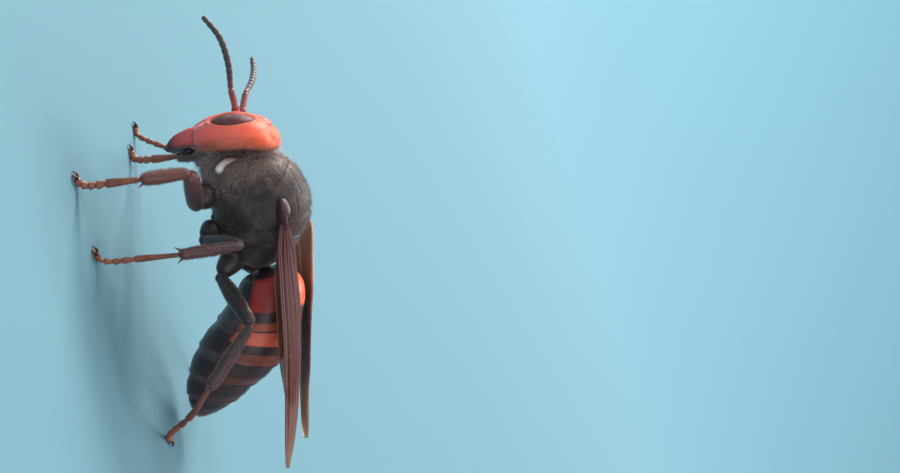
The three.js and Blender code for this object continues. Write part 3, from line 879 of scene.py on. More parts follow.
@dataclass(frozen=True)
class GasterFinish(Finish):
    """Polished dark segments with orange bands above, painted darker as painted shade and painted lit on top
    of the first band, and faint brown ones below, painted dim as painted shade.
    """

    # Painted light: the band colours are the bands' orange painted darker as painted shade. The first band is
    # painted lit on top and painted shade red down its side, and the lower plates' colour paints their faint
    # bands dim as painted shade.
    dark: Colour = (0.046, 0.027, 0.031)
    painted_shade_band_red: Colour = (0.38, 0.045, 0.038)
    painted_lit_orange: Colour = (0.80, 0.14, 0.035)
    orange: Colour = (0.38, 0.085, 0.040)
    glow: Colour = (0.72, 0.13, 0.075)
    tan: Colour = (0.22, 0.062, 0.034)
    brown: Colour = (0.13, 0.040, 0.027)
    dusk: Colour = (0.085, 0.027, 0.022)
    tip: Colour = (0.17, 0.047, 0.034)
    belly: Colour = (0.10, 0.072, 0.076)

    def colour(self, at: Surface) -> Value:
        """Bands at their shares of the way round the gaster, on the upper plates only.

        Args:
            at: The point.

        Returns:
            Its colour.
        """
        share = at.kept("share") + (at.cloud - 0.5) * 0.05
        down = at.kept("down")
        upper = 1.0 - down.step(0.56, 0.64)
        # The first band: painted light on top, painted shade red down its side.
        first = down.step(0.10, 0.32).blend(self.painted_lit_orange, self.painted_shade_band_red)
        bands = (
            (0.21, 0.76, 0.03, first),
            (0.90, 0.995, 0.02, self.orange),
            (1.05, 1.40, 0.03, self.glow),
            (1.64, 1.93, 0.02, self.tan),
            (2.53, 2.90, 0.02, self.brown),
            (3.64, 3.93, 0.02, self.dusk),
            (4.72, 4.95, 0.02, self.dusk),
        )
        body = at.cloud.step(0.3, 0.8).blend(tuple(0.8 * c for c in self.dark), self.dark)
        shade = at.cloud.step(0.25, 0.6) * 0.4 + 0.6
        for low, high, soft, band in bands:
            body = (share.within(low, high, soft) * upper * shade).blend(body, band)
        body = (share.step(5.1, 5.6) * 0.8).blend(body, self.tip)
        # Faint bands on the lower plates, painted dim as painted shade.
        hem = (share * math.tau).cosine().step(0.1, 0.9) * (1.0 - upper)
        return (hem * 0.8).blend(body, self.belly)


@dataclass(frozen=True)
class LegFinish(Finish):
    """Leg cuticle, near black at the hip, red-brown at the knee and shin, warmer on the fore legs."""

    black: Colour = (0.014, 0.009, 0.009)
    brown: Colour = (0.040, 0.026, 0.032)
    red: Colour = (0.145, 0.044, 0.042)

    def colour(self, at: Surface) -> Value:
        """Darkest at the hip; the value called warm shifts the whole leg.

        Args:
            at: The point.

        Returns:
            Its colour.
        """
        along = at.kept("along")
        warm = at.kept("warm")
        reach = along + warm * 0.9 + (at.cloud - 0.5) * 0.6
        body = reach.step(1.0, 2.1).blend(self.black, self.brown)
        return (reach.step(1.9, 3.0) * (warm * 0.5 + 0.5)).blend(body, self.red)


@dataclass(frozen=True)
class FootFinish(Finish):
    """Orange-brown foot, darker at the claws."""

    amber: Colour = (0.26, 0.088, 0.048)
    brown: Colour = (0.11, 0.036, 0.024)
    claw: Colour = (0.035, 0.012, 0.009)

    def colour(self, at: Surface) -> Value:
        """Amber in clouds of brown, then the dark claws.

        Args:
            at: The point.

        Returns:
            Its colour.
        """
        along = at.kept("along")
        body = (at.cloud + along * 0.15).step(0.35, 0.75).blend(self.brown, self.amber)
        return along.step(0.98, 1.08).blend(body, self.claw)


@dataclass(frozen=True)
class WingFinish(Finish):
    """Smoky amber membrane, its own colour near the root, there painted light on the right wings, redder at
    the leading edge, paler at the tip.
    """

    alpha: float = 0.92
    smoke: Colour = (0.070, 0.015, 0.018)
    edge: Colour = (0.056, 0.011, 0.014)
    pale: Colour = (0.34, 0.22, 0.165)
    tip_alpha: float = 0.72
    near: Colour = (0.068, 0.015, 0.019)
    root: Colour = (0.045, 0.019, 0.022)

    def colour(self, at: Surface) -> Value:
        """Amber from the fold to the leading edge, khaki at the tip.

        Args:
            at: The point.

        Returns:
            Its colour.
        """
        along = at.kept("along") + (at.cloud - 0.5) * 0.2
        body = at.kept("across").step(0.55, 1.0).blend(self.smoke, self.edge)
        body = along.step(0.2, 0.5).blend(self.near, body)
        body = at.kept("along").step(0.0, 0.05).blend(self.root, body)
        return along.step(0.56, 0.98).blend(body, self.pale)

    def clearness(self, at: Surface) -> Term:
        """Clearer towards the tip."""
        along = at.kept("along").step(0.5, 1.0)
        return along * (self.tip_alpha - self.alpha) + self.alpha


@dataclass(frozen=True)
class HairFinish(Finish):
    """Hair that varies from tuft to tuft between two colours."""

    gloss: Gloss = Gloss(0.5, 0.05)
    dark: Colour = (0.40, 0.13, 0.06)
    fair: Colour = (0.72, 0.36, 0.22)

    def colour(self, at: Surface) -> Value:
        """Each tuft its own mixture."""
        return at.kept("shade").blend(self.dark, self.fair)


@dataclass(frozen=True)
class PileFinish(HairFinish):
    """Hair of the thorax, fairest at the collar, and a little fairer along the back as painted light."""

    gloss: Gloss = Gloss(0.5, 0.05, sheen=0.45)
    dark: Colour = (0.034, 0.026, 0.026)
    fair: Colour = (0.42, 0.31, 0.27)

    def colour(self, at: Surface) -> Value:
        """Each tuft its own mixture, with more of the fair colour in front, and a little more on top as
        painted light.

        Args:
            at: The point.

        Returns:
            Its colour.
        """
        front = at.x.step(1.5, 5.0)
        # A little fairer on top: painted light along the back's edge.
        fair = front.larger(at.z.step(21.0, 24.0) * 0.1)
        return (at.kept("shade") * (fair * 0.75 + 0.25) + front * 0.65).blend(self.dark, self.fair)


class Recipe(NodeMaker):
    """A Geometry Nodes tree with named inputs that is run on a piece and gives back a plain mesh."""

    def __init__(self, name: str, kinds: dict[str, str]) -> None:
        """Starts a tree that takes and gives geometry.

        Args:
            name: What the tree is called.
            kinds: The names of its other inputs, each with the last part of its socket's type.
        """
        super().__init__(bpy.data.node_groups.new(name, "GeometryNodeTree"))
        add = self.tree.interface.new_socket
        for way in ("INPUT", "OUTPUT"):
            add("Geometry", in_out=way, socket_type="NodeSocketGeometry")
        sockets = [add(key, in_out="INPUT", socket_type="NodeSocket" + kind) for key, kind in kinds.items()]
        self.keys = [socket.identifier for socket in sockets]
        entry = self.tree.nodes.new("NodeGroupInput")
        self.source, *self.inputs = (Value(self, output) for output in entry.outputs[: len(kinds) + 1])

    def kept(self, name: str, kind: str = "FLOAT") -> Value:
        """A value kept at the points of the geometry."""
        return self.node("GeometryNodeInputNamedAttribute", {"data_type": kind}, {"Name": name})

    def keep(self, geometry: Value, name: str, value: Term, kind: str, domain: str) -> Value:
        """Writes a value to the geometry under a name."""
        inputs = {"Geometry": geometry, "Name": name, "Value": value}
        return self.node("GeometryNodeStoreNamedAttribute", {"data_type": kind, "domain": domain}, inputs)

    def close(self, geometry: Value, material: Value) -> None:
        """Ends the tree in realized instances that carry the finish.

        Args:
            geometry: What the tree has made.
            material: The input that holds the finish.
        """
        real = self.node("GeometryNodeRealizeInstances", {}, {"Geometry": geometry})
        dressed = self.node("GeometryNodeSetMaterial", {}, {"Geometry": real, "Material": material})
        self.node("NodeGroupOutput", {}, {0: dressed})

    def run(self, source: Object, name: str, values: Sequence[object]) -> Object:
        """Runs the tree on an object, which is left as it was.

        Args:
            source: The object that the tree starts from.
            name: The new piece's name.
            values: The tree's inputs in their order.

        Returns:
            The new piece, a plain mesh.
        """
        modifier = source.modifiers.new(self.tree.name, "NODES")
        modifier.node_group = self.tree
        for key, value in zip(self.keys, values):
            modifier[key] = value
        depsgraph = bpy.context.evaluated_depsgraph_get()
        evaluated = source.evaluated_get(depsgraph)
        mesh = bpy.data.meshes.new_from_object(evaluated, preserve_all_data_layers=True, depsgraph=depsgraph)
        source.modifiers.remove(modifier)
        mesh.name = name
        mesh.shade_smooth()
        return linked(name, mesh)


@dataclass(frozen=True)
class Coat:
    """A coat of tapered hairs over a skin, in millimetres and hairs to the square millimetre."""

    name: str
    density: float
    length: float
    width: float
    lean: float
    stray: float
    seed: int
    bend: float = 0.3

    def tuft(self) -> Object:
        """One bent, three-sided hair of length one, which stands on the floor and leans along X.

        Returns:
            The hair's object.
        """
        radius = 0.5 * self.width / self.length
        points: list[Spot] = []
        patches: list[Spot] = []
        for height, thick in ((0.0, 1.0), (0.5, 0.8)):
            for corner in range(3):
                angle = math.tau * corner / 3
                out, over = math.cos(angle), math.sin(angle)
                drift = self.bend * height**2
                points.append((drift + out * radius * thick, over * radius * thick, height))
                spread = TUFT_PATCH / 2 * (1.0 - 0.4 * height)
                patches.append((out * spread, over * spread, 0.0))
        points.append((self.bend, 0.0, 1.0))
        patches.append((0.0, 0.0, 0.0))
        faces = [(2, 1, 0)]
        faces += [(k, (k + 1) % 3, 3 + (k + 1) % 3, 3 + k) for k in range(3)]
        faces += [(3 + k, 3 + (k + 1) % 3, 6) for k in range(3)]
        mesh = bpy.data.meshes.new(self.name + "_tuft")
        mesh.from_pydata(points, [], faces)
        patch = mesh.attributes.new("patch", "FLOAT_VECTOR", "POINT")
        patch.data.foreach_set("vector", np.array(patches).ravel())
        return linked(mesh.name, mesh)


class CoatRecipe(Recipe):
    """Hairs scattered over a skin, which lie along its value called lie where pile lets them grow."""

    def __init__(self) -> None:
        """Builds the tree."""
        super().__init__("coat", {
            "Hairs per square millimetre": "Float", "Length": "Float", "Lean": "Float", "Stray": "Float",
            "Seed": "Int", "Tuft": "Object", "Finish": "Material",
        })
        density, length, lean, stray, seed, tuft, finish = self.inputs
        node = self.node
        thick = self.kept("pile") * density * (1 / MM**2)
        scatter = {"Mesh": self.source, "Density": thick, "Seed": seed}
        roots = node("GeometryNodeDistributePointsOnFaces", {"distribute_method": "RANDOM"}, scatter)
        lie = self.kept("lie", "FLOAT_VECTOR")
        wander = self.random("FLOAT_VECTOR", {0: (-1.0,) * 3, 1: (1.0,) * 3, "Seed": seed}, 0)
        way = roots.other("Normal") * (1.0 - lean) + lie * lean + wander * stray
        shade = self.random("FLOAT", {2: 0.0, 3: 1.0, "Seed": seed}, 1)
        points = self.keep(roots, "shade", shade, "FLOAT", "POINT")
        upright = node("FunctionNodeAlignRotationToVector", {"axis": "Z"}, {"Vector": way})
        settings = {"axis": "X", "pivot_axis": "Z"}
        turned = node("FunctionNodeAlignRotationToVector", settings, {"Rotation": upright, "Vector": lie})
        size = self.kept("nap") * length * self.random("FLOAT", {2: 0.6, 3: 1.15, "Seed": seed}, 1)
        form = node("GeometryNodeObjectInfo", {}, {"Object": tuft}, "Geometry")
        placed = {"Points": points, "Instance": form, "Rotation": turned, "Scale": size}
        hairs = node("GeometryNodeInstanceOnPoints", {}, placed)
        real = node("GeometryNodeRealizeInstances", {}, {"Geometry": hairs})
        flat = self.kept(FLAT_MAP, "FLOAT_VECTOR") + self.kept("patch", "FLOAT_VECTOR")
        mapped = self.keep(real, BAKE_MAP, flat, "FLOAT2", "CORNER")
        self.close(mapped, finish)

    def random(self, kind: str, inputs: dict[Union[int, str], Term], output: int) -> Value:
        """A seeded random value for each hair."""
        return self.node("FunctionNodeRandomValue", {"data_type": kind}, inputs, output)

    def grow(self, skin: Object, coat: Coat, finish: Material, slot: Slot) -> Object:
        """Grows a coat on a finished skin.

        Args:
            skin: The piece that it grows on, with the values pile, nap and lie.
            coat: The coat's sizes.
            finish: The hairs' finish.
            slot: The record's slot of the finish.

        Returns:
            The coat's piece.
        """
        tuft = coat.tuft()
        values = coat.density, coat.length * MM, coat.lean, coat.stray, coat.seed, tuft, finish
        piece = self.run(skin, coat.name, values)
        bpy.data.objects.remove(tuft)
        return show(piece, slot)


class TubeRecipe(Recipe):
    """Round tubes along lines of points whose thickness is their value called girth.

    Each tube may be parted into members by narrow joints.
    """

    # The higher, the narrower a joint is.
    SHARP = 14.0

    def __init__(self) -> None:
        """Builds the tree."""
        kinds = {"Sides": "Int", "Members": "Float", "Notch depth": "Float", "Finish": "Material"}
        super().__init__("tube", kinds)
        sides, members, notch, finish = self.inputs
        node = self.node
        line = node("GeometryNodeMeshToCurve", {}, {"Mesh": self.source})
        factor = node("GeometryNodeSplineParameter", {}, {}, "Factor")
        line = self.keep(line, "along", factor, "FLOAT", "POINT")
        joint = abs((factor * members * math.pi).cosine()) ** self.SHARP
        girth = self.kept("girth") * (1.0 - joint * notch)
        circle = {"Resolution": sides, "Radius": 1.0}
        ring = node("GeometryNodeCurvePrimitiveCircle", {"mode": "RADIUS"}, circle)
        inputs = {"Curve": line, "Profile Curve": ring, "Scale": girth, "Fill Caps": True}
        tube = node("GeometryNodeCurveToMesh", {}, inputs)
        self.close(tube, finish)

    def draw(
        self, name: str, lines: Sequence[tuple[Array, Array]], finish: Material,
        sides: int, members: float = 0.0, notch: float = 0.0,
    ) -> Object:
        """Draws tubes along lines.

        Args:
            name: The piece's name.
            lines: Points and radii of each tube, in layout millimetres.
            finish: The tubes' finish.
            sides: Points round a tube.
            members: How many members each tube has.
            notch: How deep the joints between members are cut, as a share of the radius.

        Returns:
            The piece, without its body and slot.
        """
        points = np.vstack([line for line, _ in lines])
        edges, count = [], 0
        for line, _ in lines:
            edges += [(count + k, count + k + 1) for k in range(len(line) - 1)]
            count += len(line)
        mesh = bpy.data.meshes.new(name + "_lines")
        mesh.from_pydata(((points + CENTRING) * MM).tolist(), edges, [])
        girth = mesh.attributes.new("girth", "FLOAT", "POINT")
        girth.data.foreach_set("value", np.concatenate([radii for _, radii in lines]) * MM)
        source = linked(mesh.name, mesh)
        piece = self.run(source, name, (sides, members, notch, finish))
        bpy.data.objects.remove(source)
        return piece


@dataclass
class Assembly:
    """A part of the hornet, made with the recipes that the parts share."""

    coats: CoatRecipe
    tubes: TubeRecipe


# The head is turned to its right on the neck by an angle, about a point of the neck, and set back.
# Its sections, like those of the thorax and the gaster, are rows as Shell takes them.
HEAD_ANGLE = -0.2
HEAD_PIVOT = 7.0
HEAD_BACK = 0.5
HEAD_POWER = 2.4
HEAD_ROWS = (
    (9.2, 22.5, 7.8, 22.5, 2.4),
    (10.4, 21.7, 6.9, 22.0, 4.4),
    (11.4, 20.6, 6.8, 20.9, 5.5),
    (12.2, 18.9, 7.2, 19.2, 6.0),
    (12.5, 17.1, 7.6, 17.5, 5.9),
    (12.4, 15.3, 8.0, 15.8, 5.5),
    (12.0, 13.7, 8.4, 14.3, 4.9),
    (11.5, 12.6, 8.9, 13.2, 4.1),
    (11.1, 12.0, 9.3, 12.5, 3.0),
)


def on_neck(points: Array) -> Array:
    """Points of the head, made facing straight ahead, put in its turned place."""
    turned = np.array(Matrix.Rotation(HEAD_ANGLE, 3, "Z"))
    return (points - [HEAD_PIVOT, 0, 0]) @ turned.T + [HEAD_PIVOT - HEAD_BACK, 0, 0]


@dataclass
class Eyes:
    """The two compound eyes, long lenses that follow the sides of the head."""

    middle: tuple[float, float] = (3.09, 0.150)
    half: tuple[float, float] = (1.49, 0.062)
    slant: tuple[float, float] = (0.018, -0.022)
    rise: float = 0.34
    depth: float = 0.5
    columns: int = 96

    def reach(self, places: Array, turns: Array) -> Array:
        """How far places of the head lie from the nearer eye's middle, in its own outline.

        Args:
            places: How far down the head, counted in rows of its table.
            turns: How far round the head.

        Returns:
            One number for each, 1 at the eye's edge.
        """
        away = (places - self.middle[0]) / self.half[0]
        turns = np.minimum(turns, 1.0 - turns) - self.middle[1]
        across = (turns - self.slant[0] * away - self.slant[1] * away**2) / self.half[1]
        return np.hypot(away, across)

    def lens(self) -> Net:
        """The left lens, domed outside and sunk inside.

        Returns:
            The net, rows from its outer middle over its edge to its inner one.
        """
        shell = Shell(HEAD_ROWS, HEAD_POWER)
        out = np.sin(np.linspace(0.03, math.pi / 2, 36))
        far = np.concatenate([out, out[-2::-3]])[:, None]
        outside = (np.arange(len(far)) < len(out))[:, None]
        angle = np.linspace(0.0, math.tau, self.columns, endpoint=False)[None, :]
        away = far * np.cos(angle)
        places = self.middle[0] + self.half[0] * away
        turns = self.middle[1] + self.half[1] * far * np.sin(angle)
        turns = turns + self.slant[0] * away + self.slant[1] * away**2
        base = shell.spots(places, turns)
        down = shell.spots(places + 0.01, turns) - base
        round_ = shell.spots(places, turns + 0.002) - base
        normal = unit(np.cross(round_, down))
        normal = normal * np.sign(normal[..., 1:2])
        dome = np.sqrt(np.maximum(1.0 - far**2, 0.0))
        push = np.where(outside, self.rise * dome, -self.depth * dome) - 0.10
        return Net(base + normal * (push * np.ones_like(angle))[..., None])

    def build(self) -> None:
        """Makes both eyes."""
        gloss, facets = Gloss(0.55, 0.04, sheen=0.08, shine=0.10), Relief(30000, 0.0000012, 40000, 0.0)
        material = EyeFinish("eye_dark", gloss, facets).material()
        lens = self.lens()
        for side in Side:
            skin = Skin("eye_" + side.word + "_lens").add(Net(on_neck(side.put(lens.points))))
            show(skin.build(material), Slot.EYE, "eye_" + side.word)


@dataclass
class Head(Assembly):
    """The head capsule with its face shield, feeler sockets, simple eyes and fine hair."""

    rings: int = 190
    columns: int = 300
    crown: float = 0.2
    chin: float = 0.4
    shield: tuple[float, float, float] = (14.55, 2.75, 2.15)
    shield_power: float = 2.7
    socket: tuple[float, float] = (1.2, 18.6)
    lobe: tuple[float, float] = (3.7, 19.7)
    hinge: tuple[float, float] = (10.6, 3.05)
    simple_eyes: tuple[Spot, ...] = ((10.35, 0.0, 21.55), (9.75, 0.75, 22.05), (9.75, -0.75, 22.05))
    simple_eye_radius: float = 0.27

    def net(self) -> Net:
        """The capsule with its relief.

        Returns:
            The net, rows from the crown to the mouth.
        """
        shell = Shell(HEAD_ROWS, HEAD_POWER)
        places = np.linspace(0.0, shell.count - 1.0, self.rings)
        net = shell.net(places, self.columns).domed((self.crown, self.chin))
        x, y, z = np.moveaxis(net.points, -1, 0)
        normal = net.normals()
        front, rear = smooth(normal[..., 0], 0.15, 0.6), smooth(-normal[..., 0], 0.3, 0.8)
        level, half, tall = self.shield
        bow = self.shield_power
        edge = (np.abs(y / half) ** bow + np.abs((z - level) / tall) ** bow) ** (1.0 / bow)
        # The face shield, its groove and the two lobes of its lower rim.
        push = front * (0.20 * fade(edge, 0.88, 1.02) - 0.10 * hump(edge, 1.04, 0.045))
        push += front * 0.16 * hump(np.abs(y), 1.0, 0.5) * hump(z, 12.8, 0.35)
        # The feelers' sockets, the ridge between them, the line up the brow and the swellings beside it.
        reach = np.hypot(np.abs(y) - self.socket[0], z - self.socket[1])
        push += front * (-0.30 * hump(reach, 0.0, 0.62) + 0.11 * hump(reach, 0.86, 0.16))
        push += front * 0.14 * hump(y, 0.0, 0.7) * hump(z, 18.2, 1.3)
        line = hump(y, 0.0, 0.09) * smooth(z, 18.7, 19.3) * fade(z, 21.2, 21.7)
        push -= front * 0.10 * line
        push += front * 0.34 * hump(np.abs(y), self.lobe[0], 0.42) * hump(z, self.lobe[1], 0.75)
        # The hollow nape, then the rims and the beds of the eyes.
        push -= rear * 0.45 * hump(y, 0.0, 2.7) * hump(z, 17.8, 2.9)
        orbit = Eyes().reach(net.along, net.turn())
        ahead = smooth(0.15 - np.minimum(net.turn(), 1.0 - net.turn()), 0.0, 0.05)
        push += (0.08 + 0.14 * ahead) * hump(orbit, 1.22, 0.12) - 0.10 * self.seam(net)
        push -= 0.35 * fade(orbit, 0.9, 1.0)
        # The rim round the nape, the groove of the cheek, and slow waves.
        away = np.abs(net.turn() - 0.5)
        push += 0.10 * hump(away, 0.135, 0.012) * smooth(z, 13.0, 15.0) * fade(z, 21.5, 22.8)
        push -= 0.07 * hump(z + 0.35 * (x - 10.0), 13.1, 0.16) * (1.0 - front)
        push += 0.016 * np.sin(2.1 * x + 1.0) * np.sin(1.7 * y) * np.sin(1.9 * z)
        return net.pushed(push)

    def seam(self, net: Net) -> Array:
        """Where the head is grooved and painted darker, round the eyes and round the roots of the jaws.

        Args:
            net: The head before it is turned on the neck.

        Returns:
            A mask from 0 to 1.
        """
        x, y, z = np.moveaxis(net.points, -1, 0)
        jaw = np.hypot(x - self.hinge[0], np.abs(y) - self.hinge[1])
        root = hump(jaw, 1.32, 0.16) * fade(z, 13.2, 14.0)
        return np.maximum(hump(Eyes().reach(net.along, net.turn()), 1.02, 0.05), root)

    def build(self) -> None:
        """Makes the head, its simple eyes and its hair."""
        gloss = Gloss(0.55, 0.06, 0.0, 0.3, 0.22, 0.15, 0.10)
        finish = HeadFinish("head_orange", gloss, Relief(6500, 0.000010, 24000, 0.000003))
        net = self.net()
        z = net.points[..., 2]
        seam = self.seam(net)
        rear = smooth(-net.normals()[..., 0], 0.0, 0.6)
        pile = 0.5 + 0.5 * smooth(z, 19.0, 22.0) + rear
        net.points = on_neck(net.points)
        skin = Skin("head_skin").add(net, pile=pile, nap=0.7 + 0.6 * rear, lie=net.lie(), seam=seam)
        head = show(skin.build(finish.material()), Slot.HEAD, "head")
        glass = EyeFinish("simple_eye_brown", Gloss(0.15, 0.02, 0.2, 0.05), dark=(0.3, 0.08, 0.04))
        beads = Skin("simple_eyes")
        for spot in self.simple_eyes:
            beads.add(ball(on_neck(np.array(spot)), (self.simple_eye_radius,) * 3, 20, 28))
        show(beads.build(glass.material()), Slot.EYE)
        hair = HairFinish("head_hair").material()
        coat = Coat("head_hairs", 13.0, 0.5, 0.024, 0.6, 0.25, 11)
        self.coats.grow(head, coat, hair, Slot.HEAD)


@dataclass
class Jaws(Assembly):
    """The closed jaws with their cutting teeth, and the small palps behind them."""

    path: tuple[Spot, ...] = (
        (10.6, 3.1, 13.5), (10.6, 3.0, 12.9), (10.6, 2.3, 11.4), (10.4, 1.45, 10.2), (10.1, 0.64, 9.1),
    )
    across: tuple[float, ...] = (1.15, 1.2, 1.45, 1.2, 0.42)
    deep: tuple[float, ...] = (1.15, 1.2, 1.05, 0.8, 0.35)
    rings: int = 90
    columns: int = 64
    middle: float = 0.17
    teeth: float = 3.5
    palps: tuple[tuple[Spot, ...], ...] = (
        ((9.9, 1.0, 12.6), (9.3, 1.5, 11.5), (9.2, 1.5, 10.7), (9.2, 1.3, 10.1)),
        ((9.8, 0.5, 12.4), (9.1, 0.6, 11.5), (9.0, 0.6, 10.9)),
    )

    def net(self) -> Net:
        """The left jaw, its inner edge cut into teeth.

        Returns:
            The net, its place from 0 at the hinge to 1 at the tip.
        """
        route = Route(self.path)
        t = np.linspace(0.0, 1.0, self.rings)
        centre = route.at(t)
        tangent = route.heading(t)
        deep = unit(np.array([1.0, 0.0, 0.0]) - tangent * tangent[:, :1])
        across = np.cross(tangent, deep)
        knots = np.linspace(0.0, 1.0, len(self.across))
        wide, thick = np.interp(t, knots, self.across), np.interp(t, knots, self.deep)
        kernel = np.ones(9) / 9
        wide, thick = (np.convolve(np.pad(v, 4, "edge"), kernel, "valid") for v in (wide, thick))
        angle = np.linspace(0.0, math.tau, self.columns, endpoint=False)
        ring = deep[:, None] * (np.cos(angle)[None, :] * thick[:, None])[..., None]
        ring = ring + across[:, None] * (np.sin(angle)[None, :] * wide[:, None])[..., None]
        net = Net(centre[:, None] + ring, t)
        outer = smooth(np.cos(angle), 0.1, 0.9)[None, :]
        grooves = hump(np.sin(angle), 0.15, 0.16) + hump(np.sin(angle), -0.35, 0.16)
        blade = (smooth(t, 0.3, 0.45) * fade(t, 0.85, 1.0))[:, None]
        net = net.pushed(-0.07 * outer * grooves[None, :] * blade)
        notches = (1.0 - np.abs(np.cos(math.pi * self.teeth * t))) ** 1.5
        gap = self.middle + 0.26 * notches * smooth(t, 0.5, 0.62)
        net.points[..., 1] = np.maximum(net.points[..., 1], gap[:, None])
        return net.domed((0.9, 0.25))

    def build(self) -> None:
        """Makes both jaws and the palps."""
        gloss, relief = Gloss(0.50, 0.06, 0.0, 0.3, shine=0.25), Relief(5000, 0.000010)
        material = JawFinish("mandible_brown", gloss, relief).material()
        net = self.net()
        for side in Side:
            skin = Skin("jaw_" + side.word).add(Net(on_neck(side.put(net.points))), along=net.along)
            show(skin.build(material), Slot.JAW, "mandible_" + side.word)
        lines = []
        for side in Side:
            for palp in self.palps:
                share = np.linspace(0.0, 1.0, 60)
                lines.append((on_neck(side.put(Route(palp).at(share))), 0.17 - 0.07 * share))
        show(self.tubes.draw("palps", lines, material, 12, 4, 0.35), Slot.JAW)


@dataclass
class Antennae(Assembly):
    """Both feelers: a reddish first member and a dark ringed whip."""

    routes: tuple[tuple[Side, tuple[Spot, ...]], ...] = (
        (Side.LEFT, (
            (11.5, 0.2, 18.6), (13.3, 0.95, 19.0), (15.0, 1.9, 19.3),
            (18.3, 3.5, 20.3), (21.6, 4.8, 20.5), (24.6, 5.8, 19.5),
        )),
        (Side.RIGHT, (
            (11.1, -2.2, 18.6), (12.4, -3.0, 19.2), (13.6, -4.0, 19.7),
            (14.5, -7.0, 20.2), (15.6, -10.0, 20.2), (16.9, -12.3, 20.0),
        )),
    )
    scape: tuple[float, ...] = (0.3, 0.42, 0.40)
    whip: tuple[float, ...] = (0.34, 0.42, 0.4, 0.3)
    members: int = 11
    elbow: int = 2

    def build(self) -> None:
        """Makes both feelers."""
        red = FadingFinish("scape_red", Gloss(0.42, 0.06, 0.1))
        dull, near, far = Gloss(0.55, 0.08, 0.0, 0.2, 0.3), (0.10, 0.040, 0.036), (0.044, 0.032, 0.033)
        dark = FadingFinish("flagellum_brown", dull, Relief(9000, 0.000006), near, far, 0.0, 0.3)
        reds, darks = red.material(), dark.material()
        for side, route in self.routes:
            first = Route(route[: self.elbow + 1])
            skin = Skin("scape_" + side.word + "_skin")
            stem = limb(first, self.scape, 24, 30)
            skin.add(stem, along=stem.along)
            middle, tangent = first.walk(np.array([0.22, 1.03]))
            for centre, way, thick in zip(middle, tangent, (0.52, 0.33)):
                bead = limb(Route([centre - way * 0.3, centre + way * 0.3]), (thick, thick), 24, 4)
                skin.add(bead, along=0.3)
            show(skin.build(reds), Slot.SCAPE, "scape_" + side.word)
            rest = Route(route[self.elbow:])
            share = np.linspace(0.0, 1.0, 420)
            middle, _ = rest.walk(0.012 + share * 0.988)
            shape = np.polyfit(np.linspace(0.0, 1.0, len(self.whip)), self.whip, 3)
            radii = np.polyval(shape, share) * np.sqrt(np.clip((1.0 - share) / 0.02 + 0.05, 0.0, 1.0))
            whip = self.tubes.draw("whip_" + side.word, [(middle, radii)], darks, 20, self.members, 0.22)
            show(whip, Slot.FLAGELLUM, "flagellum_" + side.word)


THORAX_ROWS = (
    (6.2, 19.6, 7.0, 15.8, 1.6),
    (5.9, 21.2, 6.9, 14.1, 3.0),
    (5.0, 22.6, 6.1, 12.9, 4.2),
    (3.2, 23.8, 4.1, 12.4, 5.0),
    (1.0, 24.3, 1.2, 12.3, 5.4),
    (-1.0, 24.3, -1.2, 12.3, 5.4),
    (-2.8, 23.5, -3.2, 12.7, 5.0),
    (-4.4, 22.3, -4.8, 13.3, 4.4),
    (-6.0, 21.0, -6.2, 14.0, 3.5),
    (-7.1, 19.0, -7.1, 14.8, 2.2),
    (-7.5, 17.5, -7.5, 15.6, 1.0),
)


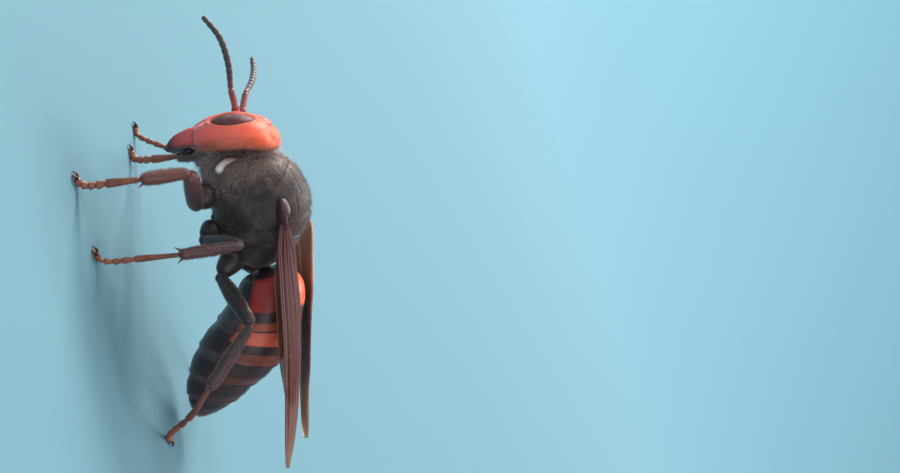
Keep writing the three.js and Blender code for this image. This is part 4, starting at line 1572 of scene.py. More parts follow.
@dataclass
class Thorax(Assembly):
    """Collar, back shield, rear shield and flanks in one skin, parted by grooves, under brown pile."""

    power: float = 2.3
    rings: int = 190
    columns: int = 220
    shoulder: float = -1.4
    reach: float = 6.0
    half: float = 6.0
    lean: float = 0.18
    level: float = 22.0
    edge: tuple[float, float] = (-4.3, 18.0)
    edge_lean: float = 0.1
    shield: tuple[float, float] = (-2.3, 21.2)
    neck: tuple[Spot, ...] = ((9.0, 0.0, 17.9), (7.4, 0.0, 17.7), (5.6, 0.0, 17.5))
    # The ends and the half width of a painted highlight low on each side of the collar.
    mark: tuple[Spot, Spot] = ((6.0, 3.4, 15.5), (6.6, 2.3, 16.7))
    highlight_half: float = 0.66
    tegula: Spot = (-0.5, 4.9, 21.9)
    tegula_half: Spot = (1.3, 1.0, 0.75)

    def pale(self, points: Array) -> Array:
        """How far places of the thorax lie from the painted highlight low on each side of the collar's front.

        Args:
            points: Places on the thorax.

        Returns:
            One number for each, 1 at the highlight's edge.
        """
        low, high = (np.array(end) for end in self.mark)
        off = points * [1, 0, 1] + np.abs(points) * [0, 1, 0] - low
        share = np.clip(off @ (high - low) / np.sum((high - low) ** 2), 0.0, 1.0)
        return np.linalg.norm(off - share[..., None] * (high - low), axis=-1) / self.highlight_half

    def net(self) -> Net:
        """The thorax with its grooves and swellings.

        Returns:
            The net, rows from the neck to the waist.
        """
        shell = Shell(THORAX_ROWS, self.power)
        places = np.linspace(0.0, shell.count - 1.0, self.rings)
        net = shell.net(places, self.columns).domed((0.25, 0.15))
        x, y, z = np.moveaxis(net.points, -1, 0)
        normal = net.normals()
        top = smooth(normal[..., 2], 0.1, 0.6)
        flank = smooth(np.abs(normal[..., 1]), 0.5, 0.85)
        # The collar's hind edge, an arch over the back.
        bend = self.shoulder + self.lean * (self.level - z)
        ahead = np.maximum(x - bend, 0.0)
        collar = (np.sqrt((ahead / self.reach) ** 2 + (y / self.half) ** 2) - 1.0) * 5.0
        push = -0.24 * hump(collar, 0.0, 0.14) - 0.10 * smooth(collar, 0.0, 0.25)
        # The grooves before the rear block, then the rear shield with the grooves round it.
        slope = (x - self.edge[0]) * math.cos(self.edge_lean) + (z - self.edge[1]) * math.sin(self.edge_lean)
        push -= 0.22 * hump(slope, 0.0, 0.15)
        push -= 0.10 * hump(slope, -0.75, 0.1) * smooth(z, 19.5, 20.5)
        behind, above = self.shield[0] - x, z - self.shield[1]
        rear = smooth(behind, 0.0, 0.3) * smooth(slope, 0.0, 0.3) * smooth(above, 0.0, 0.3)
        push += 0.22 * rear - 0.20 * hump(behind, -0.1, 0.13) * smooth(above, -0.3, 0.2)
        push -= 0.18 * hump(above, -0.1, 0.13) * smooth(behind, -0.2, 0.2) * smooth(slope, 0.0, 0.3) * flank
        push -= rear * 0.12 * hump(y, 0.0, 0.16)
        # Lines along the back.
        back = top * fade(behind, -0.4, 0.0) * fade(collar, -0.6, -0.2)
        push -= back * 0.09 * hump(y, 0.0, 0.08) * smooth(x, 0.5, 1.5)
        push -= back * 0.10 * hump(np.abs(y), 2.3 - 0.06 * x, 0.11) * smooth(x, -0.5, 0.8)
        push -= back * 0.08 * hump(np.abs(y), 3.4, 0.1) * fade(x, -0.2, 0.8)
        # Seams and swellings of the flanks.
        seam = x + 0.25 * (z - 17.0)
        push -= flank * 0.16 * hump(seam, -2.2, 0.13) * fade(z, 19.8, 20.6)
        level = hump(z + 0.25 * x, 18.0, 0.14)
        push -= flank * 0.12 * level * smooth(seam, -2.1, -1.7) * fade(collar, -0.3, 0.0)
        push += flank * 0.22 * hump(x, 0.8, 1.9) * hump(z, 15.8, 1.7)
        push += flank * 0.16 * hump(x, -3.3, 0.7) * hump(z, 17.2, 1.6)
        # The groove under the breast, slow waves and the swollen foot of the collar.
        push -= 0.14 * hump(y, 0.0, 0.12) * smooth(-normal[..., 2], 0.4, 0.8)
        push += 0.03 * np.sin(1.3 * x) * np.sin(1.1 * y + 0.6) * np.sin(1.2 * z)
        push += 0.35 * hump(z, 15.4, 1.3) * smooth(x, 5.2, 6.2)
        return net.pushed(push)

    def build(self) -> None:
        """Makes the thorax, the neck, the wing caps and the pile."""
        gloss = Gloss(0.48, 0.10, 0.0, 0.2, 0.15, 0.0, 0.3)
        finish = ThoraxFinish("thorax_brown", gloss, Relief(3800, 0.000030, 16000, 0.000010)).material()
        net = self.net()
        x, y, z = np.moveaxis(net.points, -1, 0)
        front, top = smooth(x, 1.5, 6.0), smooth(z, 17.0, 23.0)
        belly = smooth(-z, -14.5, -12.8)
        pile = 0.25 + 0.75 * np.maximum(front, 0.7 * top) * (1.0 - 0.3 * smooth(-x, 5.5, 7.5)) + 0.3 * belly
        pile += 0.8 * smooth(x, 4.6, 6.2) + 0.5 * smooth(z, 21.5, 23.5)
        # Round the painted highlight the pile is cleared and the nap shortened; its mask goes to the finish.
        pale = self.pale(net.points)
        pile *= smooth(pale, 1.3, 1.8)
        nap = (0.7 + 0.4 * front + 1.2 * smooth(x, 5.0, 6.5)) * (0.35 + 0.65 * smooth(pale, 1.5, 3.5))
        lie = unit(net.lie() - np.array([0.0, 0.0, 0.45]))
        mark = fade(pale, 0.75, 1.25)
        skin = Skin("thorax_skin").add(net, pile=pile, nap=nap, lie=lie, mark=mark)
        stalk = limb(Route(self.neck), (1.0, 1.15, 1.1), 40, 30, lambda t: 1.0 + 0.06 * np.cos(40 * t))
        skin.add(stalk, pile=1.0, nap=1.0, lie=stalk.lie(), mark=0.0)
        thorax = show(skin.build(finish), Slot.THORAX, "pronotum", "mesothorax", "scutellum", "propodeum")
        near, far = (0.035, 0.015, 0.016), (0.075, 0.034, 0.034)
        cap = FadingFinish("tegula_brown", Gloss(0.5, 0.05), Relief(), near, far, stop=0.8).material()
        for side in Side:
            dome = ball(self.tegula, self.tegula_half, 40, 56)
            along = dome.rows(np.linspace(1.0, 0.0, len(dome.points)))
            dome = dome.pushed(-0.10 * hump(1.0 - 2.0 * along, 0.35, 0.12))
            shell = Skin("wing_cap_" + side.word).add(Net(side.put(dome.points)), along=along)
            show(shell.build(cap), Slot.JAW, "tegula_" + side.word)
        hair = PileFinish("thorax_hair").material()
        for coat in (
            Coat("thorax_pile", 28.0, 0.55, 0.030, 0.55, 0.25, 21),
            Coat("thorax_long_hairs", 6.0, 0.95, 0.030, 0.30, 0.28, 22),
        ):
            self.coats.grow(thorax, coat, hair, Slot.THORAX)


# The leading edge and the fold of the left front wing, from root to tip.
WING_OUTER = (
    (-2.1, 6.3, 21.1), (-4.9, 7.1, 20.0), (-8.3, 8.0, 19.3), (-11.9, 8.6, 18.5), (-15.5, 8.9, 17.7),
    (-19.1, 8.8, 16.7), (-22.8, 8.4, 15.6), (-26.6, 7.95, 14.35), (-29.7, 7.45, 13.35), (-31.6, 7.15, 12.9),
)
WING_INNER = (
    (-2.3, 5.3, 21.8), (-4.7, 4.2, 21.7), (-8.5, 3.6, 20.8), (-12.3, 3.4, 20.0), (-15.9, 3.7, 19.0),
    (-19.4, 4.3, 18.0), (-23.0, 4.9, 16.8), (-26.4, 5.1, 15.5), (-29.8, 5.9, 14.05), (-31.7, 6.7, 13.1),
)


@dataclass(frozen=True)
class Vein:
    """One vein: places on the wing as share of length and of width, and the radius at each end."""

    spots: tuple[tuple[float, float], ...]
    root: float
    tip: float

    def path(self, count: int) -> tuple[Array, Array, Array]:
        """Shares of the wing's length and width and the radius, at a number of places along the vein."""
        path = Route([(along, across, 0.0) for along, across in self.spots]).at(np.linspace(0.0, 1.0, count))
        return path[:, 0], path[:, 1], np.linspace(self.root, self.tip, count)


FOREWING_VEINS = (
    Vein(((0.0, 0.99), (0.2, 0.99), (0.45, 0.985), (0.66, 0.985), (0.86, 0.97)), 0.17, 0.06),
    Vein(((0.02, 0.9), (0.25, 0.92), (0.5, 0.92), (0.64, 0.95)), 0.15, 0.10),
    Vein(((0.62, 0.95), (0.66, 0.95), (0.7, 0.95)), 0.12, 0.10),
    Vein(((0.66, 0.93), (0.72, 0.84), (0.8, 0.84), (0.88, 0.94)), 0.08, 0.05),
    Vein(((0.03, 0.72), (0.2, 0.68), (0.4, 0.66), (0.6, 0.66), (0.8, 0.7)), 0.12, 0.04),
    Vein(((0.03, 0.55), (0.2, 0.45), (0.45, 0.4), (0.65, 0.42), (0.85, 0.5)), 0.12, 0.03),
    Vein(((0.03, 0.35), (0.2, 0.2), (0.45, 0.16), (0.7, 0.18), (0.85, 0.25)), 0.10, 0.03),
    Vein(((0.30, 0.67), (0.33, 0.42)), 0.06, 0.05),
    Vein(((0.5, 0.92), (0.52, 0.66)), 0.06, 0.05),
    Vein(((0.58, 0.66), (0.6, 0.42)), 0.06, 0.05),
    Vein(((0.7, 0.85), (0.7, 0.68)), 0.05, 0.04),
)
HINDWING_VEINS = (
    Vein(((0.0, 0.9), (0.3, 0.94), (0.6, 0.93), (0.9, 0.85)), 0.10, 0.04),
    Vein(((0.0, 0.6), (0.3, 0.5), (0.6, 0.45), (0.9, 0.5)), 0.08, 0.03),
    Vein(((0.0, 0.35), (0.3, 0.22), (0.6, 0.16)), 0.07, 0.03),
    Vein(((0.42, 0.93), (0.46, 0.48)), 0.05, 0.04),
)


@dataclass
class Wings(Assembly):
    """Both pairs of wings, the front pair folded lengthwise and laid back over the gaster."""

    arch: float = 1.1
    droop: float = -2.2
    lift: float = 0.7
    roll: float = -0.5
    swing: float = 2.0
    bow: float = 0.35
    layer: float = 0.17
    sheet: float = 0.03
    width: float = 4.5
    rows: int = 150
    pleats: float = 5.5
    pleat_depth: float = 0.035
    under: float = 0.82
    drop: float = 0.98

    def __post_init__(self) -> None:
        """Lays the two edges."""
        self.outer = Route(WING_OUTER)
        self.inner = Route(WING_INNER)

    def blade(self, t: Array, s: Array, h: Array, side: Side) -> Array:
        """Places on the folded front wing.

        Args:
            t: Share of the length from root to tip.
            s: Share of the width from the fold to the leading edge.
            h: Height above the middle of the blade.
            side: Which wing.

        Returns:
            One point for each value.
        """
        shape = np.broadcast(t, s, h).shape
        t, s, h = (np.broadcast_to(v, shape).ravel() for v in (t, s, h))
        a, b = self.inner.at(t), self.outer.at(t)
        if side is Side.RIGHT:
            near = smooth(t, 0.0, 0.12) * fade(t, 0.15, 0.6)
            raised = self.arch * near + self.lift * smooth(t, 0.7, 1.0)
            a[:, 2] += raised
            b[:, 2] += raised + self.droop * near + self.roll * smooth(t, 0.0, 0.3)
            a[:, 1] -= self.swing * smooth(t, 0.1, 1.0)
            b[:, 1] -= self.swing * smooth(t, 0.1, 1.0)
        across = b - a
        normal = unit(np.cross(across, self.inner.heading(t) + self.outer.heading(t)))
        normal = np.where(normal[:, 2:] < 0, -normal, normal)
        points = a + across * s[:, None] + normal * (4 * self.bow * s * (1 - s) + h)[:, None]
        return side.put(points).reshape(*shape, 3)

    def ripple(self, s: Array) -> Array:
        """Height of the lengthwise pleats across the width."""
        return self.pleat_depth * np.sin(math.tau * self.pleats * s)

    def folded(self) -> tuple[Array, Array]:
        """The outline of the folded sheet's section, as shares of the width and heights.

        Returns:
            The shares and the heights, once round the sheet.
        """
        upper = np.linspace(1.0, 0.06, 44)
        bend = np.linspace(0.0, math.pi, 11)[1:-1]
        lower = np.linspace(0.06, self.under, 30)
        s = np.concatenate([upper, 0.06 - self.layer / self.width * np.sin(bend), lower])
        h = [self.layer + self.ripple(upper), self.layer * np.cos(bend), -self.layer + self.ripple(lower)]
        h = np.concatenate(h)
        line = np.stack([s * self.width, h], -1)
        way = unit(np.gradient(line, axis=0))
        normal = np.stack([way[:, 1], -way[:, 0]], -1) * self.sheet
        once = np.concatenate([line + normal, (line - normal)[::-1]])
        return once[:, 0] / self.width, once[:, 1]

    def hind(self, t: Array, s: Array, h: Array, side: Side) -> Array:
        """Places on the hind wing, given as for the front wing, under whose outer part it lies."""
        reach = 0.29 * np.sqrt(np.maximum(0.02, fade(t, 0.7, 1.02))) * (0.3 + 0.7 * smooth(t, 0.0, 0.3))
        return self.blade(0.07 + 0.59 * t, 0.59 + reach * (2 * s - 1), h - self.drop, side)

    def build(self) -> None:
        """Makes the four wings with their veins."""
        gloss, relief = Gloss(0.50, 0.06, shine=0.12), Relief(2600, 0.00001)
        # The warm colour is painted light: the right wings are painted brighter near the root, as light
        # coming through the membrane.
        light, warm, clear = (0.36, 0.18, 0.11), (0.55, 0.28, 0.18), Gloss(0.50, 0.06, glow=0.6, shine=0.2)
        front = WingFinish("wing_amber", gloss, relief)
        hind = WingFinish("hind_wing_amber", gloss, relief, 0.8, light, (0.26, 0.11, 0.07), light, 0.5, light)
        near, far = (0.08, 0.024, 0.020), (0.20, 0.085, 0.055)
        vein = FadingFinish("vein_brown", Gloss(0.5, 0.05), Relief(), near, far, 0.3, 1.0).material()
        for side in Side:
            for form, make in ((front, self.front_wing), (hind, self.hind_wing)):
                if side is Side.RIGHT:
                    name = form.name + "_right"
                    # Painted light near the right wings' root.
                    form = replace(form, name=name, gloss=clear, near=warm)
                make(side, form.material(), vein)

    def front_wing(self, side: Side, membrane: Material, vein: Material) -> None:
        """Makes one front wing.

        Args:
            side: Which wing.
            membrane: The sheet's finish.
            vein: The veins' finish.
        """
        s, h = self.folded()
        t = np.linspace(0.0, 1.0, self.rows)
        thin = (1.0 - 0.75 * smooth(t, 0.85, 1.0))[:, None]
        net = Net(self.blade(t[:, None], s[None, :], h[None, :] * thin, side), t)
        skin = Skin("front_wing_" + side.word)
        skin.add(net, along=net.along, across=np.repeat(s[None, :], len(t), axis=0))
        root = side.put(np.array([(-0.4, 5.0, 21.6), (-1.6, 5.5, 21.5), (-3.0, 5.7, 21.3)]))
        hinge = limb(Route(root), (0.5, 0.62, 0.3), 28, 16)
        skin.add(hinge, along=0.0, across=1.0)
        show(skin.build(membrane), Slot.WING, "forewing_" + side.word)
        lines = []
        for item in FOREWING_VEINS:
            t, s, radii = item.path(48)
            lines.append((self.blade(t, s, self.layer + self.ripple(s), side), radii))
        show(self.tubes.draw("front_wing_veins_" + side.word, lines, vein, 8), Slot.WING)

    def hind_wing(self, side: Side, membrane: Material, vein: Material) -> None:
        """Makes one hind wing.

        Args:
            side: Which wing.
            membrane: The sheet's finish.
            vein: The veins' finish.
        """
        across = np.linspace(0.0, 1.0, 48)
        s = np.concatenate([across, across[::-1]])
        h = np.repeat([self.sheet, -self.sheet], len(across)) + 0.5 * self.ripple(s)
        t = np.linspace(0.0, 1.0, 96)
        net = Net(self.hind(t[:, None], s[None, :], h[None, :], side), t)
        skin = Skin("hind_wing_" + side.word)
        skin.add(net, along=net.along, across=np.repeat(s[None, :], len(t), axis=0))
        show(skin.build(membrane), Slot.WING, "hindwing_" + side.word)
        lines = []
        for item in HINDWING_VEINS:
            t, s, radii = item.path(40)
            lines.append((self.hind(t, s, 0.5 * self.ripple(s), side), radii))
        show(self.tubes.draw("hind_wing_veins_" + side.word, lines, vein, 8), Slot.WING)


GASTER_ROWS = (
    (-7.9, 17.0, -7.9, 15.2, 0.9),
    (-8.3, 18.4, -8.1, 13.9, 2.7),
    (-9.3, 19.7, -8.6, 12.8, 4.1),
    (-11.0, 20.3, -9.7, 11.8, 4.9),
    (-13.2, 19.8, -10.8, 10.4, 5.4),
    (-15.9, 18.3, -12.2, 8.6, 5.7),
    (-18.2, 16.5, -13.3, 7.0, 5.75),
    (-20.1, 14.3, -14.7, 5.4, 5.6),
    (-21.0, 12.7, -16.1, 4.1, 5.25),
    (-21.7, 11.0, -17.6, 3.1, 4.8),
    (-22.5, 9.4, -19.0, 2.3, 4.2),
    (-23.2, 7.9, -20.4, 1.8, 3.5),
    (-23.7, 6.3, -21.4, 1.7, 2.8),
    (-24.0, 5.0, -22.4, 1.7, 2.1),
    (-24.2, 3.7, -23.3, 1.8, 1.1),
    (-24.2, 2.7, -23.9, 2.1, 0.35),
)
# How far round the gaster each of those sections lies: segment n runs from n - 1 to n.
GASTER_SHARES = (0, 0.12, 0.28, 0.48, 0.74, 1, 1.5, 2, 2.5, 3, 3.5, 4, 4.5, 5, 5.6, 6)


@dataclass
class Gaster(Assembly):
    """Six segments, each tucked under the hind rim of the one before, with plates above and below."""

    power: float = 2.15
    columns: int = 200
    rings: tuple[int, ...] = (60, 46, 40, 34, 30, 34)
    step: float = 0.22
    tuck: float = 0.16
    rim: float = 0.10
    side_line: float = 0.60
    plate_step: float = 0.14

    def segment(self, shell: Shell, number: int) -> Net:
        """One segment, its hind rim rolled in.

        Args:
            shell: The gaster's whole form.
            number: Counted from 0.

        Returns:
            The net, its place the share of the way round the gaster.
        """
        u = np.linspace(-self.tuck if number else 0.0, 1.0, self.rings[number])
        share = number + u
        shrink = -self.step * fade(u, 0.0, 0.6) if number else np.zeros_like(u)
        last = number == len(self.rings) - 1
        if not last:
            roll = np.linspace(0.0, 1.0, 6)[1:]
            share = np.concatenate([share, number + 1.0 + 0.008 * np.sin(math.pi * roll)])
            shrink = np.concatenate([shrink, -self.rim * 3 * roll])
        places = np.interp(share, GASTER_SHARES, np.arange(len(GASTER_SHARES)))
        net = shell.net(places, self.columns, shrink)
        net.place = share
        down = 1.0 - np.abs(1.0 - 2.0 * net.turn())
        push = -self.plate_step * smooth(down, self.side_line, self.side_line + 0.02)
        push += 0.03 * hump(down, self.side_line - 0.03, 0.02)
        local = net.rows(share - number)
        push += 0.05 * smooth(local, 0.9, 0.98) * fade(local, 1.0, 1.02)
        push -= 0.04 * hump(local, 0.86, 0.03)
        net = net.pushed(push * fade(net.along, 5.2, 5.9))
        return net.domed((0.5 if number == 0 else 0.05, 0.12 if last else 0.02))

    def build(self) -> None:
        """Makes the six segments and their hair."""
        gloss = Gloss(0.36, 0.07, 0.06, 0.2, shine=0.28)
        finish = GasterFinish("gaster_banded", gloss, Relief(5200, 0.000010, 20000, 0.000004)).material()
        hair = HairFinish("gaster_hair", dark=(0.030, 0.014, 0.010), fair=(0.15, 0.075, 0.045)).material()
        shell = Shell(GASTER_ROWS, self.power)
        for number in range(len(self.rings)):
            net = self.segment(shell, number)
            share, down = net.along, 1.0 - np.abs(1.0 - 2.0 * net.turn())
            hidden = smooth(share - number, 0.02, 0.08) * fade(share - number, 0.97, 0.995)
            if number == 0:
                hidden = fade(share, 0.97, 0.995)
            ends = 0.7 * smooth(share, 4.0, 5.5) + 0.5 * fade(share, 0.0, 0.5)
            thick = hidden * (0.6 + ends + 0.3 * down)
            nap = 0.7 + 0.9 * smooth(share, 4.5, 6.0) + 0.5 * fade(share, 0.0, 0.4)
            skin = Skin("gaster_segment_" + str(number + 1))
            skin.add(net, share=share, down=down, pile=thick, nap=nap, lie=net.lie())
            piece = show(skin.build(finish), Slot.GASTER, "gaster_" + str(number + 1))
            coat = Coat("gaster_hairs_" + str(number + 1), 9.0, 0.5, 0.020, 0.78, 0.16, 40 + number)
            self.coats.grow(piece, coat, hair, Slot.GASTER)


@dataclass(frozen=True)
class LegBuild:
    """Thickness of one pair's legs from hip to toe, and how warm their brown is."""

    coxa: tuple[float, ...]
    femur: tuple[float, ...]
    tibia: tuple[float, ...]
    foot: float
    warm: float


FORE = LegBuild((1.7, 1.65, 1.0), (0.95, 1.12, 0.78), (0.54, 0.85, 0.72), 0.5, 0.85)
MID = LegBuild((1.55, 1.4, 0.66), (0.55, 0.92, 0.66), (0.46, 0.74, 0.62), 0.38, -0.1)
HIND = LegBuild((1.7, 1.5, 0.7), (0.6, 1.05, 0.72), (0.5, 0.8, 0.68), 0.4, -0.6)


@dataclass(frozen=True)
class LegStance:
    """Where one leg's joints are: hip, trochanter, knee and ankle, and its sole's route."""

    name: str
    build: LegBuild
    hip: Spot
    trochanter: Spot
    knee: Spot
    ankle: Spot
    sole: tuple[Spot, ...]


LEG_STANCES = (
    LegStance(
        "fore_left", FORE, (4.3, 2.6, 13.6), (2.3, 4.1, 11.3), (7.2, 8.6, 13.0), (8.3, 11.1, 7.5),
        ((8.9, 11.3, 3.8), (9.3, 11.4, 1.3), (9.8, 11.5, 0.38), (10.6, 11.9, 0.36)),
    ),
    LegStance(
        "fore_right", FORE, (4.3, -2.6, 13.6), (2.6, -4.1, 11.3), (6.8, -8.7, 12.3), (7.3, -12.2, 6.7),
        ((7.6, -13.3, 3.6), (8.0, -13.9, 1.3), (8.5, -14.3, 0.36), (9.3, -14.9, 0.34)),
    ),
    LegStance(
        "mid_left", MID, (-0.5, 2.6, 12.9), (-1.7, 4.4, 10.9), (-2.8, 9.6, 16.6), (-1.4, 13.1, 9.8),
        ((-0.6, 13.1, 5.1), (0.0, 12.9, 1.4), (0.6, 13.1, 0.34), (1.5, 13.6, 0.31)),
    ),
    LegStance(
        "mid_right", MID, (-0.5, -2.6, 12.9), (-1.4, -4.5, 10.9), (3.6, -10.3, 13.6), (5.7, -15.3, 8.2),
        ((7.9, -17.6, 4.6), (9.9, -19.0, 1.4), (10.8, -19.7, 0.34), (11.6, -20.3, 0.31)),
    ),
    LegStance(
        "hind_left", HIND, (-4.5, 2.6, 14.4), (-6.5, 4.9, 11.7), (-12.2, 11.0, 15.2), (-17.9, 14.2, 8.6),
        ((-21.0, 12.0, 4.9), (-22.9, 9.9, 1.4), (-23.6, 9.0, 0.36), (-24.3, 8.2, 0.33)),
    ),
    LegStance(
        "hind_right", HIND, (-4.5, -2.6, 14.4), (-6.5, -4.9, 11.7), (-11.8, -10.8, 15.6), (-17.4, -13.8, 8.6),
        ((-19.2, -12.3, 4.6), (-20.3, -10.9, 1.4), (-20.8, -10.2, 0.36), (-21.4, -9.4, 0.33)),
    ),
)


@dataclass
class Legs(Assembly):
    """Six legs, each in one skin from hip to ankle and a second from ankle to claws."""

    foot_members: tuple[float, ...] = (0.5, 0.64, 0.75, 0.85, 1.0)
    spur: float = 1.1

    def foot_swell(self, share: Array) -> Array:
        """Five members of the foot, each flared at its far end and narrow at its joint.

        Args:
            share: Shares of the foot's length.

        Returns:
            A factor on the radius for each.
        """
        starts = np.array([0.0, *self.foot_members])
        i = np.clip(np.searchsorted(starts, share, side="left") - 1, 0, len(self.foot_members) - 1)
        local = (share - starts[i]) / (starts[i + 1] - starts[i])
        near = np.min(np.abs(share[:, None] - starts[None, 1:-1]), axis=1)
        return (0.74 + 0.34 * smooth(local, 0.1, 0.92)) * (1.0 - 0.4 * np.exp(-((near / 0.008) ** 2)))

    def upper(self, leg: LegStance) -> Skin:
        """Coxa, trochanter, femur and tibia with its spurs, as one skin.

        Args:
            leg: The leg.

        Returns:
            The skin, whose value along counts the members.
        """
        build = leg.build
        hip, trochanter, knee, ankle = (np.array(p) for p in (leg.hip, leg.trochanter, leg.knee, leg.ankle))
        skin = Skin("leg_" + leg.name)
        thigh = unit(knee - trochanter)
        stretches = (
            (0.0, [hip, trochanter], build.coxa, 40, 36, 0.5),
            (1.0, [trochanter - thigh * 0.3, trochanter + thigh], (0.66, 0.74, 0.6), 28, 10, 0.5),
            (1.0, [trochanter, knee], build.femur, 32, 60, 0.8),
            (2.0, [knee, ankle], build.tibia, 32, 60, 1.3),
        )
        for start, points, radii, columns, rings, pile in stretches:
            net = limb(Route(points), radii, columns, rings)
            mark = {"along": net.rows(start + net.place), "warm": build.warm}
            if start == 2.0:
                ridge = 0.05 * hump(net.turn(), 0.25, 0.05) * smooth(net.along, 0.1, 0.3)
                net = net.pushed(ridge)
            skin.add(net, **mark, pile=pile, nap=0.6 + 0.2 * start, lie=net.lie())
        down = unit(ankle - knee)
        out = unit(np.cross([0.0, 0.0, 1.0], down))
        for sign in (1.0,) if leg.name.startswith("fore") else (1.0, -1.0):
            root = ankle - down * 0.75 + out * sign * 0.25
            tip = root + down * self.spur + out * sign * 0.75
            spur = limb(Route([root, tip]), (0.2, 0.13, 0.045), 12, 14)
            skin.add(spur, along=3.0, warm=build.warm, pile=0.0, nap=0.0, lie=spur.lie())
        return skin

    def foot(self, leg: LegStance) -> Skin:
        """The foot with its claws and pad, flat where it stands.

        Args:
            leg: The leg.

        Returns:
            The skin, whose value along passes 1 at the claws.
        """
        skin = Skin("foot_" + leg.name)
        thick = leg.build.foot
        points = np.array([leg.ankle, *leg.sole])
        net = limb(Route(points), (thick, thick), 24, 150, self.foot_swell)
        parts = [(net, net.along, 1.6)]
        end = points[-1]
        forward = unit((end - points[-2]) * [1, 1, 0])
        across = np.array([-forward[1], forward[0], 0.0])
        for sign in (-1.0, 1.0):
            hook = np.array([
                end - forward * 0.35 + across * sign * 0.08,
                end + forward * 0.3 + across * sign * 0.32,
                end + forward * 0.8 + across * sign * 0.5,
            ])
            hook[1, 2], hook[2, 2] = 0.52, 0.12
            parts.append((limb(Route(hook), (0.2, 0.15, 0.05), 14, 26), 1.2, 0.0))
        pad = ball(end + forward * 0.3 + [0, 0, -0.08], (0.34, 0.30, 0.2), 14, 18)
        parts.append((pad, 0.9, 0.0))
        for net, along, pile in parts:
            net.points[..., 2] = np.maximum(net.points[..., 2], 0.0)
            clear = pile * smooth(net.points[..., 2], 0.45, 0.9)
            skin.add(net, along=along, warm=leg.build.warm, pile=clear, nap=0.55, lie=net.lie())
        return skin

    def build(self) -> None:
        """Makes the six legs and their bristles."""
        brown = LegFinish("leg_brown", Gloss(0.40, 0.07, 0.05, 0.2, 0.15), Relief(5200, 0.000012)).material()
        amber = FootFinish("tarsus_amber", Gloss(0.45, 0.07, 0.05, 0.2), Relief(6500, 0.000010)).material()
        dark, fair = (0.06, 0.026, 0.018), (0.34, 0.17, 0.10)
        hair = HairFinish("leg_hair", Gloss(0.45, 0.05), Relief(), dark, fair).material()
        for number, leg in enumerate(LEG_STANCES):
            members = ["coxa_", "femur_", "tibia_"]
            upper = show(self.upper(leg).build(brown), Slot.LEG, *(m + leg.name for m in members))
            foot = show(self.foot(leg).build(amber), Slot.FOOT, "tarsus_" + leg.name)
            bristles = Coat("leg_bristles_" + leg.name, 14.0, 0.55, 0.030, 0.62, 0.22, 60 + number)
            self.coats.grow(upper, bristles, hair, Slot.LEG)
            fringe = Coat("foot_bristles_" + leg.name, 18.0, 0.42, 0.026, 0.6, 0.2, 80 + number)
            self.coats.grow(foot, fringe, hair, Slot.FOOT)


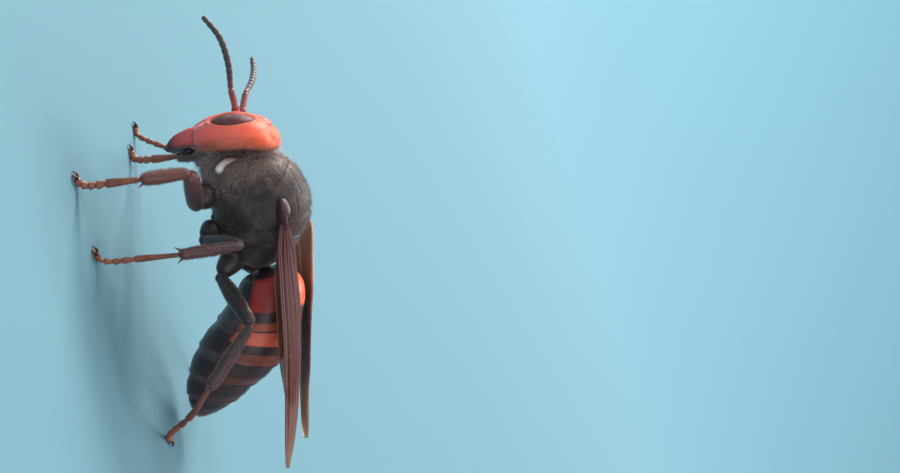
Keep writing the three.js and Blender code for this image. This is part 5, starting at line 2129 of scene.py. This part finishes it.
@dataclass
class Studio:
    """A pale sweep, soft lights and the camera, which is turned with the hornet as the photo shows it."""

    azimuth: float = 172.0
    elevation: float = 13.0
    roll: float = 17.2
    lens: float = 85.0
    sensor: float = 36.0
    frame: tuple[int, int] = (900, 473)
    scale: float = 8.0
    aim: Spot = (0.0, 0.0, 17.0)
    aim_pixel: tuple[float, float] = (252.0, 207.0)
    floor_colour: Colour = (0.088, 0.216, 0.268)

    def camera(self) -> None:
        """Sets the camera so that the aim lies at its pixel, at so many pixels to the millimetre."""
        focus = self.lens / self.sensor * self.frame[0]
        turn, rise, tilt = (math.radians(v) for v in (self.azimuth, self.elevation, self.roll))
        back = Vector((math.sin(turn) * math.cos(rise), -math.cos(turn) * math.cos(rise), math.sin(rise)))
        forward = Vector((1, 0, 0)) - back * back.x
        forward.normalize()
        side = -forward.cross(back)
        side = -side if side.z < 0 else side
        up = forward * math.cos(tilt) + side * math.sin(tilt)
        right = side * math.cos(tilt) - forward * math.sin(tilt)
        ray = Vector((self.aim_pixel[0] - self.frame[0] / 2, self.frame[1] / 2 - self.aim_pixel[1], -focus))
        ray.normalize()
        swing = Vector((0, 0, -1)).rotation_difference(ray).to_matrix()
        turned = Matrix((right, up, back)).transposed() @ swing.transposed()
        place = Vector((np.array(self.aim) + CENTRING) * MM)
        data = bpy.data.cameras.new("camera")
        data.lens, data.sensor_width = self.lens, self.sensor
        data.clip_start, data.clip_end = 0.01, 20.0
        eye = linked("camera", data)
        away = turned @ ray * focus / self.scale * MM
        eye.matrix_world = Matrix.Translation(place - away) @ turned.to_4x4()
        bpy.context.scene.camera = eye

    def light(
        self, name: str, place: Spot, size: float, power: float, tint: Colour, aim: Spot = (0, 0, 0.012)
    ) -> None:
        """Adds a soft square light.

        Args:
            name: The light's name.
            place: Where it stands, in metres.
            size: Its side.
            power: Its power in watts.
            tint: Its colour.
            aim: What it looks at, the hornet's middle unless given.
        """
        data = bpy.data.lights.new(name, "AREA")
        data.energy, data.size, data.color = power, size, tint
        lamp = linked(name, data)
        lamp.location = place
        lamp.rotation_mode = "QUATERNION"
        lamp.rotation_quaternion = (Vector(aim) - Vector(place)).to_track_quat("-Z", "Y")

    def sweep(self) -> None:
        """Makes the floor, which bends up into a wall behind the hornet."""
        bend = np.linspace(0.0, math.pi / 2, 24)
        radius, start, half = 1.4, -0.7, 3.0
        line = [(3.0, 0.0)]
        line += [(start - radius * math.sin(a), radius * (1 - math.cos(a))) for a in bend]
        line += [(start - radius, 3.0)]
        points = [(x, y, z) for y, z in line for x in (-half, half)]
        faces = [(2 * k, 2 * k + 1, 2 * k + 3, 2 * k + 2) for k in range(len(line) - 1)]
        mesh = bpy.data.meshes.new("studio_sweep")
        mesh.from_pydata(points, [], faces)
        mesh.shade_smooth()
        made = bpy.data.materials.new("studio_paper")
        made.use_nodes = True
        shader = made.node_tree.nodes["Principled BSDF"]
        shader.inputs["Base Color"].default_value = (*self.floor_colour, 1.0)
        shader.inputs["Roughness"].default_value = 0.9
        mesh.materials.append(made)
        sweep = linked("studio_sweep", mesh)

    def build(self) -> None:
        """Makes the studio."""
        scene = bpy.context.scene
        scene.view_settings.view_transform = "Standard"
        world = bpy.data.worlds.new("studio_air")
        world.use_nodes = True
        air = world.node_tree.nodes["Background"]
        air.inputs["Color"].default_value = (0.97, 0.93, 1.0, 1.0)
        air.inputs["Strength"].default_value = 0.58
        scene.world = world
        self.light("key", (0.30, 0.10, 0.50), 0.35, 1.25, (1.0, 0.96, 0.92))
        self.light("fill", (-0.20, 0.50, 0.15), 0.40, 1.0, (1.0, 0.90, 0.92))
        self.light("rim", (0.96, -1.344, 0.953), 0.58, 61.4, (1.0, 0.94, 0.91))
        self.light("window", (-0.24, -0.90, 1.254), 0.90, 19.8, (1.0, 0.95, 0.93))
        self.light("wall", (-0.30, -1.25, 1.00), 0.40, 3.0, (1.0, 1.0, 1.0), (-0.30, -1.50, 0.3))
        self.sweep()
        self.camera()


def main() -> None:
    """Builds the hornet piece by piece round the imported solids."""
    logging.basicConfig(level=logging.INFO, format="%(name)s: %(message)s")
    for leftover in list(bpy.data.objects):
        bpy.data.objects.remove(leftover)
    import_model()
    Studio().build()
    recipes = CoatRecipe(), TubeRecipe()
    Head(*recipes).build()
    Eyes().build()
    Jaws(*recipes).build()
    Antennae(*recipes).build()
    Thorax(*recipes).build()
    Wings(*recipes).build()
    Gaster(*recipes).build()
    Legs(*recipes).build()


if __name__ == "__main__":
    main()
